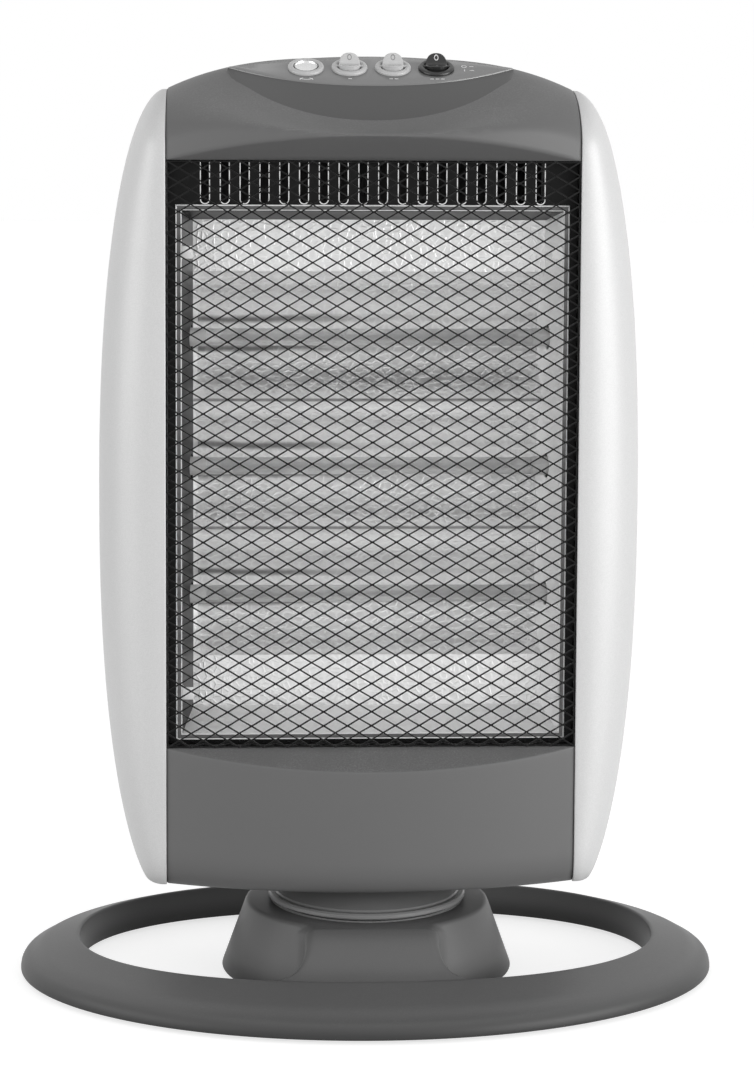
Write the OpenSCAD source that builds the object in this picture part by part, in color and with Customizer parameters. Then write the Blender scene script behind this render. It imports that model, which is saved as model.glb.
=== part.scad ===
// Oscillating radiant heater with three quartz lamps on an oval ring base.
// Millimetres, +Z up, front towards -Y, origin on the floor below the swivel axis.

/* [Head] */
// Width of the housings between the two side panels
head_w = 260; // [240:1:280]
// Distance from the swivel axis forward to the plane of the guard
guard_y = 60; // [56:1:66]
// How far the housings bow out past the guard at the middle
bow = 26; // [18:1:30]
// Distance from the swivel axis back to the rear face
head_back = 52; // [48:1:60]
// Height of the underside of the head above the floor
head_z = 71.5; // [70:0.5:80]
// Height of the guard's lower edge above the floor
guard_z = 160; // [150:1:175]
// Height of the guard
guard_h = 372.5; // [360:0.5:400]
// Height of the crown above the guard's upper edge
crown_h = 63.5; // [58:0.5:70]
// How much lower the crown is at the side panels than at the middle
crown_drop = 20; // [14:1:26]
// Rise of the sloping shelf above the guard, at the middle
upper_shelf = 16.5; // [12:0.5:20]
// Fall of the sloping shelf below the guard, at the middle
lower_shelf = 10.5; // [6:0.5:14]
// Bulge of each side panel past the housings
bulge = 44; // [34:1:50]
// How far a side panel's edge stands proud of the guard
lip = 1.5; // [1:0.1:3]
// Wall of the moulded housings
wall = 2.5; // [2:0.1:3]
// Thickness of the folded steel sheets
sheet = 1; // [0.8:0.1:1.2]

/* [Guard] */
// Number of diamond columns across the net
net_cols = 8; // [6:1:8]
// Number of diamond rows up the net
net_rows = 17; // [12:1:17]
// Width of the strands of the net
strand = 1.8; // [1.2:0.1:2.4]
// Depth of the net's folded edges
guard_fold = 12; // [10:0.5:14]

/* [Reflector and lamps] */
// Height of the middle lamp above the guard's lower edge
lamp_mid = 173.7; // [165:0.1:185]
// Distance between one lamp and the next
lamp_pitch = 83.5; // [78:0.5:88]
// Distance from the swivel axis forward to the lamps
lamp_y = 8; // [4:0.5:14]
// Length of a lamp over its end caps
lamp_len = 242; // [236:1:244]
// Outside radius of a lamp's quartz tube
tube_r = 5.5; // [5:0.1:6]
// Half the height of the reflector's front opening
mirror_half = 166.5; // [162:0.5:170]
// Half the width of the reflector's front opening
mirror_w = 120; // [116:0.5:121]
// How much the reflector narrows from its front to its back, each side
mirror_taper = 6.5; // [4:0.5:8]
// Depth of each trough between two ridges
trough = 22; // [16:0.5:26]
// Number of slots in the vent strip
vent_slots = 18; // [12:1:18]
// Distance between two vent slots
vent_pitch = 12.4; // [11.5:0.1:12.6]
// Width of a vent slot
vent_w = 5.7; // [4.5:0.1:6.5]

/* [Controls] */
// Slope of the control panel
panel_tilt = 25; // [20:1:30]
// Width of the control pod from tip to tip
pod_w = 182; // [176:1:190]
// Depth of the pod along its slope
pod_d = 40.8; // [38:0.2:44]
// Distance between two switches
switch_pitch = 27.7; // [26:0.1:30]
// Outside radius of a switch bezel
bezel_r = 11.5; // [11:0.1:12]
// Height of a switch bezel above the panel
bezel_h = 2.4; // [2:0.1:3]
// Radius of the opening in a switch bezel
key_r = 7.9; // [7.6:0.1:8.3]
// Tilt of a rocker to each side of its middle
rocker_tilt = 12; // [9:1:13]
// Gap around a moving key
key_gap = 0.5; // [0.4:0.05:0.7]
// Stroke of the oscillation button
button_stroke = 3; // [2:0.1:3.5]

/* [Base] */
// Width of the oval ring
ring_w = 453; // [430:1:480]
// Depth of the oval ring
ring_d = 332; // [316:1:350]
// Width of the ring's opening
hole_w = 376; // [360:1:384]
// Depth of the ring's opening
hole_d = 236; // [226:1:242]
// How far the ring's opening lies behind the swivel axis
hole_shift = 5; // [0:1:8]
// Height of the ring's inner edge
ring_h = 24; // [20:0.5:28]
// Height of the ring's outer shoulder
rim_h = 11.5; // [9:0.5:14]
// Height of the pedestal's top face
ped_z = 47; // [46:0.5:50]
// Radius of the pedestal's top face
ped_top_r = 79; // [76:1:84]
// Radius of the pedestal at the floor
ped_foot_r = 95; // [90:1:100]
// Width of the bridges at their waist
waist_w = 88; // [80:1:96]
// Spread of each bridge where it meets the ring
bridge_flare = 47; // [30:1:52]
// Thickness of the base moulding
base_wall = 3; // [2.5:0.1:3.5]
// Height of the rubber feet
foot_h = 2.5; // [2:0.1:3.5]

/* [Swivel] */
// Radius of the swivel disc
disc_r = 64.5; // [62:0.5:67]
// Outside radius of the hollow spindle
spindle_r = 10; // [9:0.25:11]
// Running clearance of the spindle in its bush
spindle_gap = 0.05; // [0.03:0.01:0.08]
// Gap between parts that turn past each other
turn_gap = 0.3; // [0.3:0.05:0.5]
// Distance from the swivel axis to the motor shaft
motor_y = 28; // [27:0.5:30]
// Length of the crank between its two axes
crank_l = 19.6; // [18:0.1:21]
// Radius of the crank's pin
pin_r = 3; // [2.5:0.1:3.5]
// Gap on each side of the crank pin in its slot
pin_gap = 0.6; // [0.6:0.05:0.8]

/* [Hidden] */
$fn = 48;
eps = 0.01;
over = 1;
half_w = head_w / 2;
side_x = half_w - wall;
bow_r = (half_w * half_w + bow * bow) / (2 * bow);
front_y = -guard_y - bow;
guard_top = guard_z + guard_h;
ridge_z = guard_top + crown_h;
ridge_y = 6;
shoulder_h = 36;
crease_z = guard_top + upper_shelf;
panel_mid = guard_z + 150;
panel_power = 2.3;
panel_reach = 255;
sill_r = 22;
deep = 200;

// Screws: their radius and length, the bosses that take them and the places of those of a side panel
snug = 0.05;
lead_r = 3;
screw_r = 1.9;
screw_l = 14;
boss_od = 5;
panel_bosses = [for (y = [-25, 25], z = [head_z + 34, guard_top + 14]) [y, z]];

// Carry grip in the back of the top housing
grip_w = 100;
grip_h = 19;
grip_d = 24;
grip_z = guard_top + wall + 3;

// Rear cover: its louvres and its screws
louvre_l = 56;
louvre_h = 4.5;
louvre_pitch = 11;
cover_screw_zs = [guard_z + 20, guard_z + guard_h / 2, guard_top - 20];
rear_fold = 12;
cover_screw_x = side_x - rear_fold / 2;

// Guard, reflector and lamps
net_t = 1.2;
frame_y = -guard_y + guard_fold;
mirror_z = guard_z + lamp_mid;
mirror_back = 0;
lamp_zs = [for (i = [1, 0, -1]) mirror_z + i * lamp_pitch];
mirror_t = 0.8;
mirror_lip = 4;
shield_y = 32;
cap_r = tube_r + 0.5;
cap_l = 16;
holder_r = cap_r + 3;
glass_half = lamp_len / 2 - cap_l + 4;
half_pitch = lamp_pitch / 2;
trough_r = (half_pitch * half_pitch + trough * trough) / (2 * trough);
trough_a = asin(half_pitch / trough_r);
wall_slant = 8;

// Control pod
pod_front = 24.3;
pod_rear = pod_d - pod_front;
pod_y = -8;
pod_z = ridge_z - 6;
pod_h = 16;
pod_fall = 11.3;
pod_skirt = 27.3;
key_row = -2;
panel_t = 3;
axle_r = 1.2;
axle_half = 8.8;
rocker_end = 4.2;
rocker_mid = 2.2;
barrel_h = 17;
barrel_r = bezel_r - 1.7;
key_x = [for (i = [-1.5, -0.5, 0.5, 1.5]) i * switch_pitch];
pivot_h = bezel_h - 1;

// Swivel drive
web_z = 27;
plate_t = 4;
crank_z = 38;
crank_t = 4;
roller_r = pin_r + 2;
slot_in = 24;
slot_out = motor_y + crank_l + 2;
disc_z = ped_z + turn_gap;
disc_t = 5.4;
dome_z = 63;
neck_r = 36;
well_r = 58;
shaft_r = 4;
bush_t = 3;
bush_r = spindle_r + spindle_gap + bush_t;
boss_r = bush_r + 4;
boss_top = ped_z - 6;
nut_h = 6;
washer_t = 2;
bush_z = 19;
slide_r = well_r + 2;
slide_w = 3;
ring_groove = 2;

// Feet, base cover, cord and leads
foot_r = 7;
foot_peg_r = 3;
foot_peg_l = 5;
cover_r = 82;
cover_screw_r = 70;
cover_screw_at = [45, 135, 225, 315];
tip_y = 58;
tip_r = 3.5;
cord_r = 3.6;
gland_x = -70;
gland_z = head_z + 26;
gland_body_r = 6.5;
gland_out = 5;
loom_x = 92;
loom_r = 3;

// ---------- helpers ----------

// Triangles between rings of n points each, closed at both ends or into a loop.
function band(a, b, n) = [
    for (j = [0 : n - 1])
        each [[a + j, b + j, a + (j + 1) % n], [a + (j + 1) % n, b + j, b + (j + 1) % n]]
];
function fan(a, n, flip) = [
    for (j = [1 : n - 2]) flip ? [a, a + j + 1, a + j] : [a, a + j, a + j + 1]
];

// Solid through a row of sections that all have the same number of points.
module loft(sections, loop = false) {
    m = len(sections);
    n = len(sections[0]);
    walls = [for (i = [0 : loop ? m - 1 : m - 2]) each band(i * n, ((i + 1) % m) * n, n)];
    ends = loop ? [] : concat(fan(0, n, false), fan((m - 1) * n, n, true));
    polyhedron(points = [for (s = sections) each s], faces = concat(walls, ends), convexity = 8);
}

// Points of an arc in the plane, from angle a to angle b.
function arc(c, r, a, b, n) = [
    for (i = [0 : n]) c + r * [cos(a + (b - a) * i / n), sin(a + (b - a) * i / n)]
];

// A profile drawn in (y, z), pulled across the head from -x to +x.
module across(x) {
    rotate([90, 0, 90]) translate([0, 0, -x]) linear_extrude(2 * x) children();
}

// A shape drawn in (x, z), pulled from y0 back to y1.
module facing(y0, y1) {
    translate([0, y1, 0]) rotate([90, 0, 0]) linear_extrude(y1 - y0) children();
}

// A cylinder along X between two stations.
module rod_x(r, x0, x1) {
    translate([x0, 0, 0]) rotate([0, 90, 0]) cylinder(r = r, h = x1 - x0);
}

// ---------- form of the head ----------

// Front of the bowed housings at a distance x from the middle.
function bow_y(x) = front_y + bow_r - sqrt(bow_r * bow_r - x * x);

// Height of the crown along the middle ridge.
function ridge_at(x) = ridge_z - crown_drop * pow(abs(x) / half_w, 3.2);

// Side view of the crown at a distance x from the middle, set in by t.
function crown_side(x, t) =
    let (k = pow(x / half_w, 2),
         y0 = bow_y(x) + t, y1 = head_back - t,
         top = ridge_at(x) - t,
         z0 = (crease_z - t) * (1 - k) + (top - shoulder_h + t) * k)
    concat(
        [[y0, guard_z - over]],
        [for (i = [0 : 10]) let (v = i / 10, u = pow(v, 1.4), s = u * u * (3 - 2 * u), q = sqrt(1 - (1 - v) * (1 - v)))
            [y0 + (ridge_y - y0) * v, z0 + (top - z0) * (s * (1 - k) + q * k)]],
        [for (i = [1 : 7]) let (a = i * 90 / 7)
            [ridge_y + (y1 - ridge_y) * sin(a), top - (shoulder_h - t) * (1 - cos(a))]],
        [[y1, guard_z - over]]
    );

module crown_form(t) {
    n = 14;
    x1 = half_w - t;
    loft([for (i = [0 : n]) let (x = x1 - 2 * x1 * i / n)
        [for (p = crown_side(x, t)) [x, p[0], p[1]]]]);
}

// Everything under the sloping shelf of the top housing.
module below_upper_shelf(t) {
    across(half_w + over) polygon([
        [front_y - over, guard_z - 2 * over],
        [front_y - over, crease_z + t + over * upper_shelf / bow],
        [-guard_y, guard_top + t],
        [head_back + over, guard_top + t],
        [head_back + over, guard_z - 2 * over]
    ]);
}

module top_form(t) {
    difference() {
        crown_form(t);
        below_upper_shelf(t);
    }
}

// Bowed block of the lower housing, set in by t, with a rounded sill.
module lower_form(t) {
    top = guard_z - t;
    intersection() {
        translate([0, front_y + bow_r, 0]) rotate_extrude($fn = 180) polygon(concat(
            [[0, head_z + t]],
            arc([bow_r - sill_r, head_z + sill_r], sill_r - t, -90, 0, 6),
            [[bow_r - t, guard_z + over], [0, guard_z + over]]
        ));
        across(half_w - t) polygon([
            [front_y - over, head_z], [head_back - t, head_z], [head_back - t, top],
            [-guard_y, top], [front_y - over, top - lower_shelf]
        ]);
    }
}

// ---------- side panels ----------

// Bulge of the side panel at height z.
function panel_bulge(z) =
    let (reach = z > panel_mid ? ridge_at(half_w) - panel_mid : panel_reach)
    bulge * sqrt(max(0, 1 - pow(abs(z - panel_mid) / reach, panel_power)));

// Front and rear edge of the side panel at height z.
function shoulder_k(z) =
    let (z0 = ridge_at(half_w) - shoulder_h)
    z > z0 ? sqrt(max(0, 1 - pow((z - z0) / shoulder_h, 2))) : 1;
function sill_in(z) =
    z < head_z + sill_r ? sill_r - sqrt(max(0, sill_r * sill_r - pow(head_z + sill_r - z, 2))) : 0;
function panel_front(z) = ridge_y + (-guard_y - lip - ridge_y) * shoulder_k(z) + sill_in(z) * 0.8;
function panel_rear(z) = ridge_y + (head_back - ridge_y) * shoulder_k(z);

// One section of the panel, from its front edge round to its rear edge, set in by t.
function panel_section(z, t, x0) =
    let (w = max(0.4, panel_bulge(z) - t),
         y0 = panel_front(z) + t, y1 = panel_rear(z) - t,
         ym = (y0 + y1) / 2, yd = max(0.4, (y1 - y0) / 2), n = 14)
    concat(
        x0 < half_w ? [[x0, ym - yd, z]] : [],
        [for (i = [0 : n]) let (a = 180 * i / n, c = cos(a))
            [half_w + w * pow(sin(a), 0.8), ym - yd * sign(c) * pow(abs(c), 0.85), z]],
        x0 < half_w ? [[x0, ym + yd, z]] : []
    );

// Heights of the sections of a panel, as shares from its lower to its upper end.
panel_top = panel_mid + (ridge_at(half_w) - panel_mid) * sin(86);
function panel_share(i, n) =
    let (a0 = -asin((panel_mid - head_z) / panel_reach), a = a0 + (86 - a0) * i / n,
         z = panel_mid + (a < 0 ? panel_reach : ridge_at(half_w) - panel_mid) * sin(a))
    (z - head_z) / (panel_top - head_z);

module panel_form(t) {
    n = 22;
    x0 = t > 0 ? half_w - over : half_w;
    loft([for (i = [0 : n])
        panel_section(head_z + t + panel_share(i, n) * (panel_top - head_z - 2 * t), t, x0)]);
}

module side_panel() {
    difference() {
        union() {
            difference() {
                panel_form(0);
                panel_form(wall);
            }
            intersection() {
                panel_form(wall / 2);
                for (p = panel_bosses)
                    translate([0, p[0], p[1]]) rod_x(boss_od, half_w, half_w + bulge);
            }
        }
        for (p = panel_bosses)
            translate([0, p[0], p[1]]) rod_x(screw_r, half_w - over, half_w + 10);
    }
}

module left_side_panel() {
    color("silver") mirror([1, 0, 0]) side_panel();
}

module right_side_panel() {
    color("silver") side_panel();
}

module side_panel_screws() {
    color("dimgray") for (s = [-1, 1], p = panel_bosses)
        mirror([s < 0 ? 1 : 0, 0, 0]) translate([0, p[0], p[1]]) {
            rod_x(screw_r, half_w - wall - sheet, half_w + 10);
            rod_x(3.6, half_w - wall - sheet - 2.4, half_w - wall - sheet);
        }
}

// ---------- moulded housings of the head ----------

module side_screw_holes() {
    for (p = panel_bosses)
        translate([0, p[0], p[1]]) rod_x(screw_r, -half_w - over, half_w + over);
}

module lower_housing() {
    color("#626366") difference() {
        lower_form(0);
        lower_form(wall);
        // The top is open behind the front frame
        translate([-side_x, frame_y, guard_z - wall - over])
            cube([2 * side_x, head_back - wall - frame_y, wall + 2 * over]);
        side_screw_holes();
        translate([0, 0, head_z - over]) cylinder(r = spindle_r + snug, h = wall + 2 * over);
        translate([0, -motor_y, head_z - over]) cylinder(r = shaft_r + 2, h = wall + 2 * over);
        translate([gland_x, 0, gland_z]) rotate([-90, 0, 0]) cylinder(r = gland_body_r + snug, h = deep);
        // Air inlets in the floor
        for (s = [-1, 1], i = [0 : 5])
            translate([s * (62 + i * 10), 0, head_z - over]) linear_extrude(wall + 2 * over)
                obround(4, 44);
    }
}

module top_housing() {
    color("#626366") difference() {
        union() {
            difference() {
                top_form(0);
                top_form(wall);
            }
            translate([-grip_w / 2 - wall, head_back - grip_d - wall, grip_z - wall])
                cube([grip_w + 2 * wall, grip_d + wall - eps, grip_h + 2 * wall]);
        }
        translate([-side_x, frame_y, guard_top - over])
            cube([2 * side_x, head_back - wall - frame_y, wall + 2 * over]);
        translate([-grip_w / 2, head_back - grip_d, grip_z]) cube([grip_w, grip_d + over, grip_h]);
        side_screw_holes();
        on_panel() pod_opening();
    }
}

// Upright slot with round ends, centred.
module obround(w, l) {
    square([w, l - w], center = true);
    for (s = [-1, 1]) translate([0, s * (l - w) / 2]) circle(d = w, $fn = 24);
}

// ---------- control pod ----------

module on_panel() {
    translate([0, pod_y, pod_z]) rotate([panel_tilt, 0, 0]) children();
}

// Outline of the pod: an arc towards the front and one towards the back.
function lens(hw, f, r, z) =
    let (n = 14) concat(
        [for (i = [0 : n]) let (u = -1 + 2 * i / n) [hw * u, -f * (1 - u * u), z]],
        [for (i = [1 : n - 1]) let (u = 1 - 2 * i / n) [hw * u, r * (1 - u * u), z]]
    );

// The pod set in by t: a flat lens-shaped top on a wall that flares forward.
module pod_form(t) {
    hw = pod_w / 2 - 3 * t;
    top = -t * panel_t / wall;
    loft([
        lens(hw + 2, pod_front + pod_skirt - t, pod_rear - t, -pod_h - t),
        lens(hw + 2, pod_front + pod_skirt - t, pod_rear - t, -pod_fall),
        lens(hw, pod_front + 1 - t, pod_rear - t, top - 1),
        lens(hw - 1, pod_front - t, pod_rear - 0.6 - t, top)
    ]);
}

// The space the pod takes in the crown, open above it.
module pod_opening() {
    pod_form(0);
    translate([0, 0, -eps]) linear_extrude(pod_h)
        polygon([for (p = lens(pod_w / 2 - 1, pod_front, pod_rear - 0.6, 0)) [p[0], p[1]]]);
}

module control_pod() {
    color("#77787b") on_panel() difference() {
        pod_form(0);
        pod_form(wall);
        for (x = key_x)
            translate([x, key_row, -pod_h]) cylinder(r = barrel_r, h = pod_h + over);
    }
}

// Bezel and barrel of a round switch, with a bore of radius r.
module switch_shell(r) {
    rotate_extrude() polygon([
        [r, bezel_h], [bezel_r - 1.6, bezel_h], [bezel_r - 0.5, bezel_h - 0.7],
        [bezel_r, bezel_h - 1.8], [bezel_r, 0], [barrel_r, 0], [barrel_r, -barrel_h],
        [0, -barrel_h], [0, -barrel_h + 3], [r, -barrel_h + 3]
    ]);
    for (s = [-1, 1]) translate([s * 4 - 0.4, -3.1, -barrel_h - 8]) cube([0.8, 6.2, 8 + eps]);
}

module rocker_switch_body(i) {
    on_panel() translate([key_x[i], key_row, 0]) difference() {
        switch_shell(key_r);
        translate([0, 0, pivot_h]) rod_x(axle_r + spindle_gap, -axle_half - key_gap, axle_half + key_gap);
    }
}

module rocker(i) {
    r = key_r - key_gap;
    on_panel() translate([key_x[i], key_row, pivot_h]) rotate([rocker_tilt, 0, 0]) {
        intersection() {
            translate([0, 0, -2.5]) cylinder(r = r, h = 8);
            across(r + over) polygon([
                [-r - over, -2.5], [r + over, -2.5], [r + over, rocker_end], [0, rocker_mid],
                [-r - over, rocker_end]
            ]);
        }
        rod_x(axle_r, -axle_half, axle_half);
    }
}

module turn_switch_body() {
    color("silver") on_panel() translate([key_x[0], key_row, 0]) switch_shell(key_r);
}

module turn_button() {
    r = key_r - key_gap;
    color("gainsboro") on_panel() translate([key_x[0], key_row, 0]) rotate_extrude() polygon(concat(
        [[0, -barrel_h + 3 + button_stroke + key_gap], [r, -barrel_h + 3 + button_stroke + key_gap],
         [r, bezel_h - 1], [r - 0.6, bezel_h - 0.4]],
        arc([0, bezel_h + 17.4], 19, -70, -90, 5)
    ));
}

module left_switch_body() { color("white") rocker_switch_body(1); }
module middle_switch_body() { color("white") rocker_switch_body(2); }
module right_switch_body() { color("#202020") rocker_switch_body(3); }
module left_rocker() { color("whitesmoke") rocker(1); }
module middle_rocker() { color("whitesmoke") rocker(2); }
module right_rocker() { color("#181818") rocker(3); }

// ---------- sheet metal ----------

module side_plate() {
    z0 = guard_z - 28;
    h = guard_top + 6 - z0;
    y0 = frame_y + sheet;
    y1 = head_back - wall;
    front_fold = side_x - mirror_w - mirror_t - 1;
    difference() {
        translate([0, 0, z0]) linear_extrude(h) union() {
            translate([side_x - sheet, y0]) square([sheet, y1 - y0]);
            translate([side_x - front_fold, y0]) square([front_fold, sheet]);
            translate([side_x - rear_fold, y1 - sheet]) square([rear_fold, sheet]);
        }
        for (z = lamp_zs)
            translate([0, -lamp_y, z]) rod_x(lead_r, side_x - rear_fold, side_x + over);
        for (z = cover_screw_zs)
            translate([cover_screw_x, y1, z]) rotate([-90, 0, 0])
                cylinder(r = screw_r + snug, h = 3 * over, center = true);
    }
}

module left_side_plate() {
    color("darkgray") mirror([1, 0, 0]) side_plate();
}

module right_side_plate() {
    color("darkgray") side_plate();
}

module rear_cover() {
    color("#3b3c3e") difference() {
        facing(head_back - wall, head_back) difference() {
            translate([-half_w, guard_z]) square([head_w, guard_h]);
            for (z0 = [guard_z + 40, guard_top - 40 - 5 * louvre_pitch], i = [0 : 5], x = [-1, 0, 1])
                translate([x * (louvre_l + 10), z0 + i * louvre_pitch]) rotate(90)
                    obround(louvre_h, louvre_l);
        }
        for (z = cover_screw_zs, s = [-1, 1])
            translate([s * cover_screw_x, 0, z]) rotate([-90, 0, 0]) cylinder(r = screw_r, h = deep);
    }
}

module rear_cover_screws() {
    color("dimgray") for (z = cover_screw_zs, s = [-1, 1])
        translate([s * cover_screw_x, 0, z]) rotate([-90, 0, 0]) {
            translate([0, 0, head_back - wall - sheet - 3]) cylinder(r = screw_r, h = wall + sheet + 3);
            translate([0, 0, head_back]) cylinder(r1 = 3.8, r2 = 2.8, h = 1.8);
        }
}

module front_frame() {
    slot_z = mirror_z + mirror_half + 4.5;
    slot_l = guard_top + 4 - slot_z;
    w = half_w - 0.5;
    color("#1c1c1d") facing(frame_y, frame_y + sheet) difference() {
        union() {
            translate([-w, guard_z + turn_gap]) square([2 * w, guard_h - 2 * turn_gap]);
            translate([-side_x, guard_z - 14]) square([2 * side_x, guard_h + 24]);
        }
        translate([-mirror_w - mirror_t, mirror_z - mirror_half - mirror_t])
            square([2 * (mirror_w + mirror_t), 2 * (mirror_half + mirror_t)]);
        for (i = [0 : vent_slots - 1])
            translate([(i - (vent_slots - 1) / 2) * vent_pitch, slot_z + slot_l / 2])
                obround(vent_w, slot_l);
    }
}

// Rhombus with half diagonals a and b.
module rhombus(a, b) {
    polygon([[-a, 0], [0, -b], [a, 0], [0, b]]);
}

// Expanded net of width w and height h, from its lower left corner.
module net(w, h, edge) {
    a = (w - 2 * edge) / net_cols / 2;
    b = (h - 2 * edge) / net_rows / 2;
    f = 1 - strand / 2 * sqrt(a * a + b * b) / (a * b);
    difference() {
        square([w, h]);
        intersection() {
            translate([edge, edge]) square([w - 2 * edge, h - 2 * edge]);
            for (i = [0 : 2 * net_cols], j = [0 : 2 * net_rows])
                if ((i + j) % 2 == 0)
                    translate([edge + i * a, edge + j * b]) rhombus(a * f, b * f);
        }
    }
}

module guard_mesh() {
    w = head_w - 1;
    h = guard_h - 2 * turn_gap;
    z0 = guard_z + turn_gap;
    color("#151515") {
        translate([-w / 2, 0, z0]) facing(-guard_y, -guard_y + net_t) net(w, h, 2.2);
        facing(-guard_y + net_t, frame_y) translate([-w / 2, z0]) difference() {
            square([w, h]);
            translate([net_t, net_t]) square([w - 2 * net_t, h - 2 * net_t]);
        }
    }
}

// ---------- reflector ----------

// Side view of the space in front of the reflector, in (y, z).
mirror_side = concat(
    [[frame_y - mirror_t, mirror_z - mirror_half], [mirror_back, mirror_z - mirror_half + wall_slant]],
    [for (k = [2, 1, 0]) each [for (i = [0 : 9])
        [mirror_back + trough - trough_r, lamp_zs[k]]
        + trough_r * [cos(-trough_a + 2 * trough_a * i / 10), sin(-trough_a + 2 * trough_a * i / 10)]]],
    [[mirror_back, lamp_zs[0] + half_pitch], [mirror_back, mirror_z + mirror_half - wall_slant],
     [frame_y - mirror_t, mirror_z + mirror_half]]
);

// Half the width of the reflector at depth y.
function mirror_x(y) = mirror_w - mirror_taper * (y - frame_y) / (mirror_back - frame_y);

module mirror_plan(t) {
    y1 = mirror_back + trough + 3;
    linear_extrude(guard_top) polygon([
        [-mirror_x(frame_y - over) - t, frame_y - over], [mirror_x(frame_y - over) + t, frame_y - over],
        [mirror_x(y1) + t, y1], [-mirror_x(y1) - t, y1]
    ]);
}

module reflector() {
    color("#d9dbdc") {
        intersection() {
            across(mirror_w + over) difference() {
                offset(delta = mirror_t) polygon(mirror_side);
                polygon(mirror_side);
                translate([frame_y - mirror_t - 2 * over, 0]) square([2 * over, guard_top]);
            }
            mirror_plan(0);
        }
        facing(frame_y - mirror_t, frame_y) translate([0, mirror_z]) difference() {
            square([2 * (mirror_w + mirror_lip), 2 * (mirror_half + mirror_lip)], center = true);
            square([2 * mirror_w, 2 * mirror_half], center = true);
        }
    }
}

module reflector_end(s) {
    color("#c9cbcc") difference() {
        intersection() {
            across(mirror_w + 3 * over) difference() {
                offset(delta = mirror_t) polygon(mirror_side);
                translate([frame_y - mirror_t - 2 * over, 0]) square([2 * over + mirror_t, guard_top]);
            }
            difference() {
                mirror_plan(mirror_t);
                translate([0, 0, -over]) mirror_plan(0);
            }
            translate([s > 0 ? 0 : -deep, -deep, 0]) cube([deep, 2 * deep, guard_top]);
        }
        for (z = lamp_zs)
            translate([0, -lamp_y, z]) rod_x(cap_r + 2, s > 0 ? 0 : -deep, s > 0 ? deep : 0);
    }
}

module left_reflector_end() { reflector_end(-1); }
module right_reflector_end() { reflector_end(1); }

module reflector_tabs() {
    color("whitesmoke") for (sx = [-1, 1], sz = [-1, 1])
        mirror([sx < 0 ? 1 : 0, 0, 0]) translate([mirror_w - 6, frame_y - mirror_t, mirror_z + sz * (mirror_half - 26) - 3]) {
            cube([6, mirror_t, 6]);
            cube([mirror_t, 6, 6]);
        }
}

module heat_shield() {
    w = side_x - sheet;
    color("lightgray") difference() {
        facing(shield_y - sheet, shield_y)
            translate([-w, mirror_z - mirror_half + 4]) square([2 * w, 2 * mirror_half - 8]);
    }
}

// ---------- lamps ----------

module lamp_glass(k) {
    color("lightcyan", 0.5) translate([0, -lamp_y, lamp_zs[k]]) difference() {
        rod_x(tube_r, -glass_half, glass_half);
        rod_x(tube_r - 1, -glass_half - over, glass_half + over);
    }
}

module lamp_filament(k) {
    color("gray") translate([0, -lamp_y, lamp_zs[k]])
        rod_x(0.8, -glass_half - 4, glass_half + 4);
}

module lamp_caps(k) {
    color("whitesmoke") translate([0, -lamp_y, lamp_zs[k]]) for (s = [0, 1])
        mirror([s, 0, 0]) difference() {
            rod_x(cap_r, lamp_len / 2 - cap_l, lamp_len / 2);
            rod_x(tube_r, lamp_len / 2 - cap_l - over, glass_half);
            rod_x(0.8, glass_half - over, glass_half + 4);
        }
}

module upper_lamp_glass() { lamp_glass(0); }
module middle_lamp_glass() { lamp_glass(1); }
module lower_lamp_glass() { lamp_glass(2); }
module upper_lamp_filament() { lamp_filament(0); }
module middle_lamp_filament() { lamp_filament(1); }
module lower_lamp_filament() { lamp_filament(2); }
module upper_lamp_caps() { lamp_caps(0); }
module middle_lamp_caps() { lamp_caps(1); }
module lower_lamp_caps() { lamp_caps(2); }

module lamp_holders() {
    color("ivory") for (z = lamp_zs) translate([0, -lamp_y, z]) difference() {
        rod_x(holder_r, lamp_len / 2 - 3, side_x - sheet);
        rod_x(cap_r, lamp_len / 2 - 3 - over, lamp_len / 2);
        rod_x(2, lamp_len / 2 - over, side_x);
    }
}

module left_lamp_holders() { mirror([1, 0, 0]) lamp_holders(); }
module right_lamp_holders() { lamp_holders(); }

// ---------- oscillation drive and wiring ----------

module osc_motor() {
    z0 = head_z + wall;
    color("goldenrod") translate([0, -motor_y, 0]) difference() {
        union() {
            translate([0, 0, z0 + 10]) cylinder(r = 24, h = 18);
            translate([0, 0, z0 + 7]) cylinder(r = 9, h = 3 + eps);
            for (s = [-1, 1]) {
                translate([s * 30, 0, z0]) cylinder(r = 4, h = 10 + eps);
                translate([s * 27 - 7, -5, z0 + 10]) cube([14, 10, 2]);
            }
        }
        translate([0, 0, z0]) cylinder(r = shaft_r + spindle_gap, h = 16);
    }
}

module crank() {
    z1 = crank_z + crank_t;
    color("white") difference() {
        union() {
            translate([0, 0, crank_z]) linear_extrude(crank_t) {
                translate([0, -motor_y]) circle(r = 7);
                translate([0, -motor_y - crank_l]) circle(r = 5);
                translate([-4.5, -motor_y - crank_l]) square([9, crank_l]);
            }
            translate([0, -motor_y, z1 - eps]) cylinder(r = 6, h = 3);
            translate([0, -motor_y - crank_l, web_z + turn_gap + 0.3])
                cylinder(r = pin_r, h = crank_z - web_z - turn_gap);
        }
        translate([0, -motor_y, crank_z - over]) cylinder(r = shaft_r, h = crank_t + 5);
    }
}

module crank_roller() {
    z0 = web_z + turn_gap + 0.3;
    color("ivory") translate([0, -motor_y - crank_l, z0]) difference() {
        cylinder(r = roller_r, h = crank_z - z0);
        translate([0, 0, -over]) cylinder(r = pin_r, h = deep);
    }
}

module motor_shaft() {
    color("silver") translate([0, -motor_y, crank_z])
        cylinder(r = shaft_r, h = head_z + wall + 15 - crank_z);
}

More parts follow.
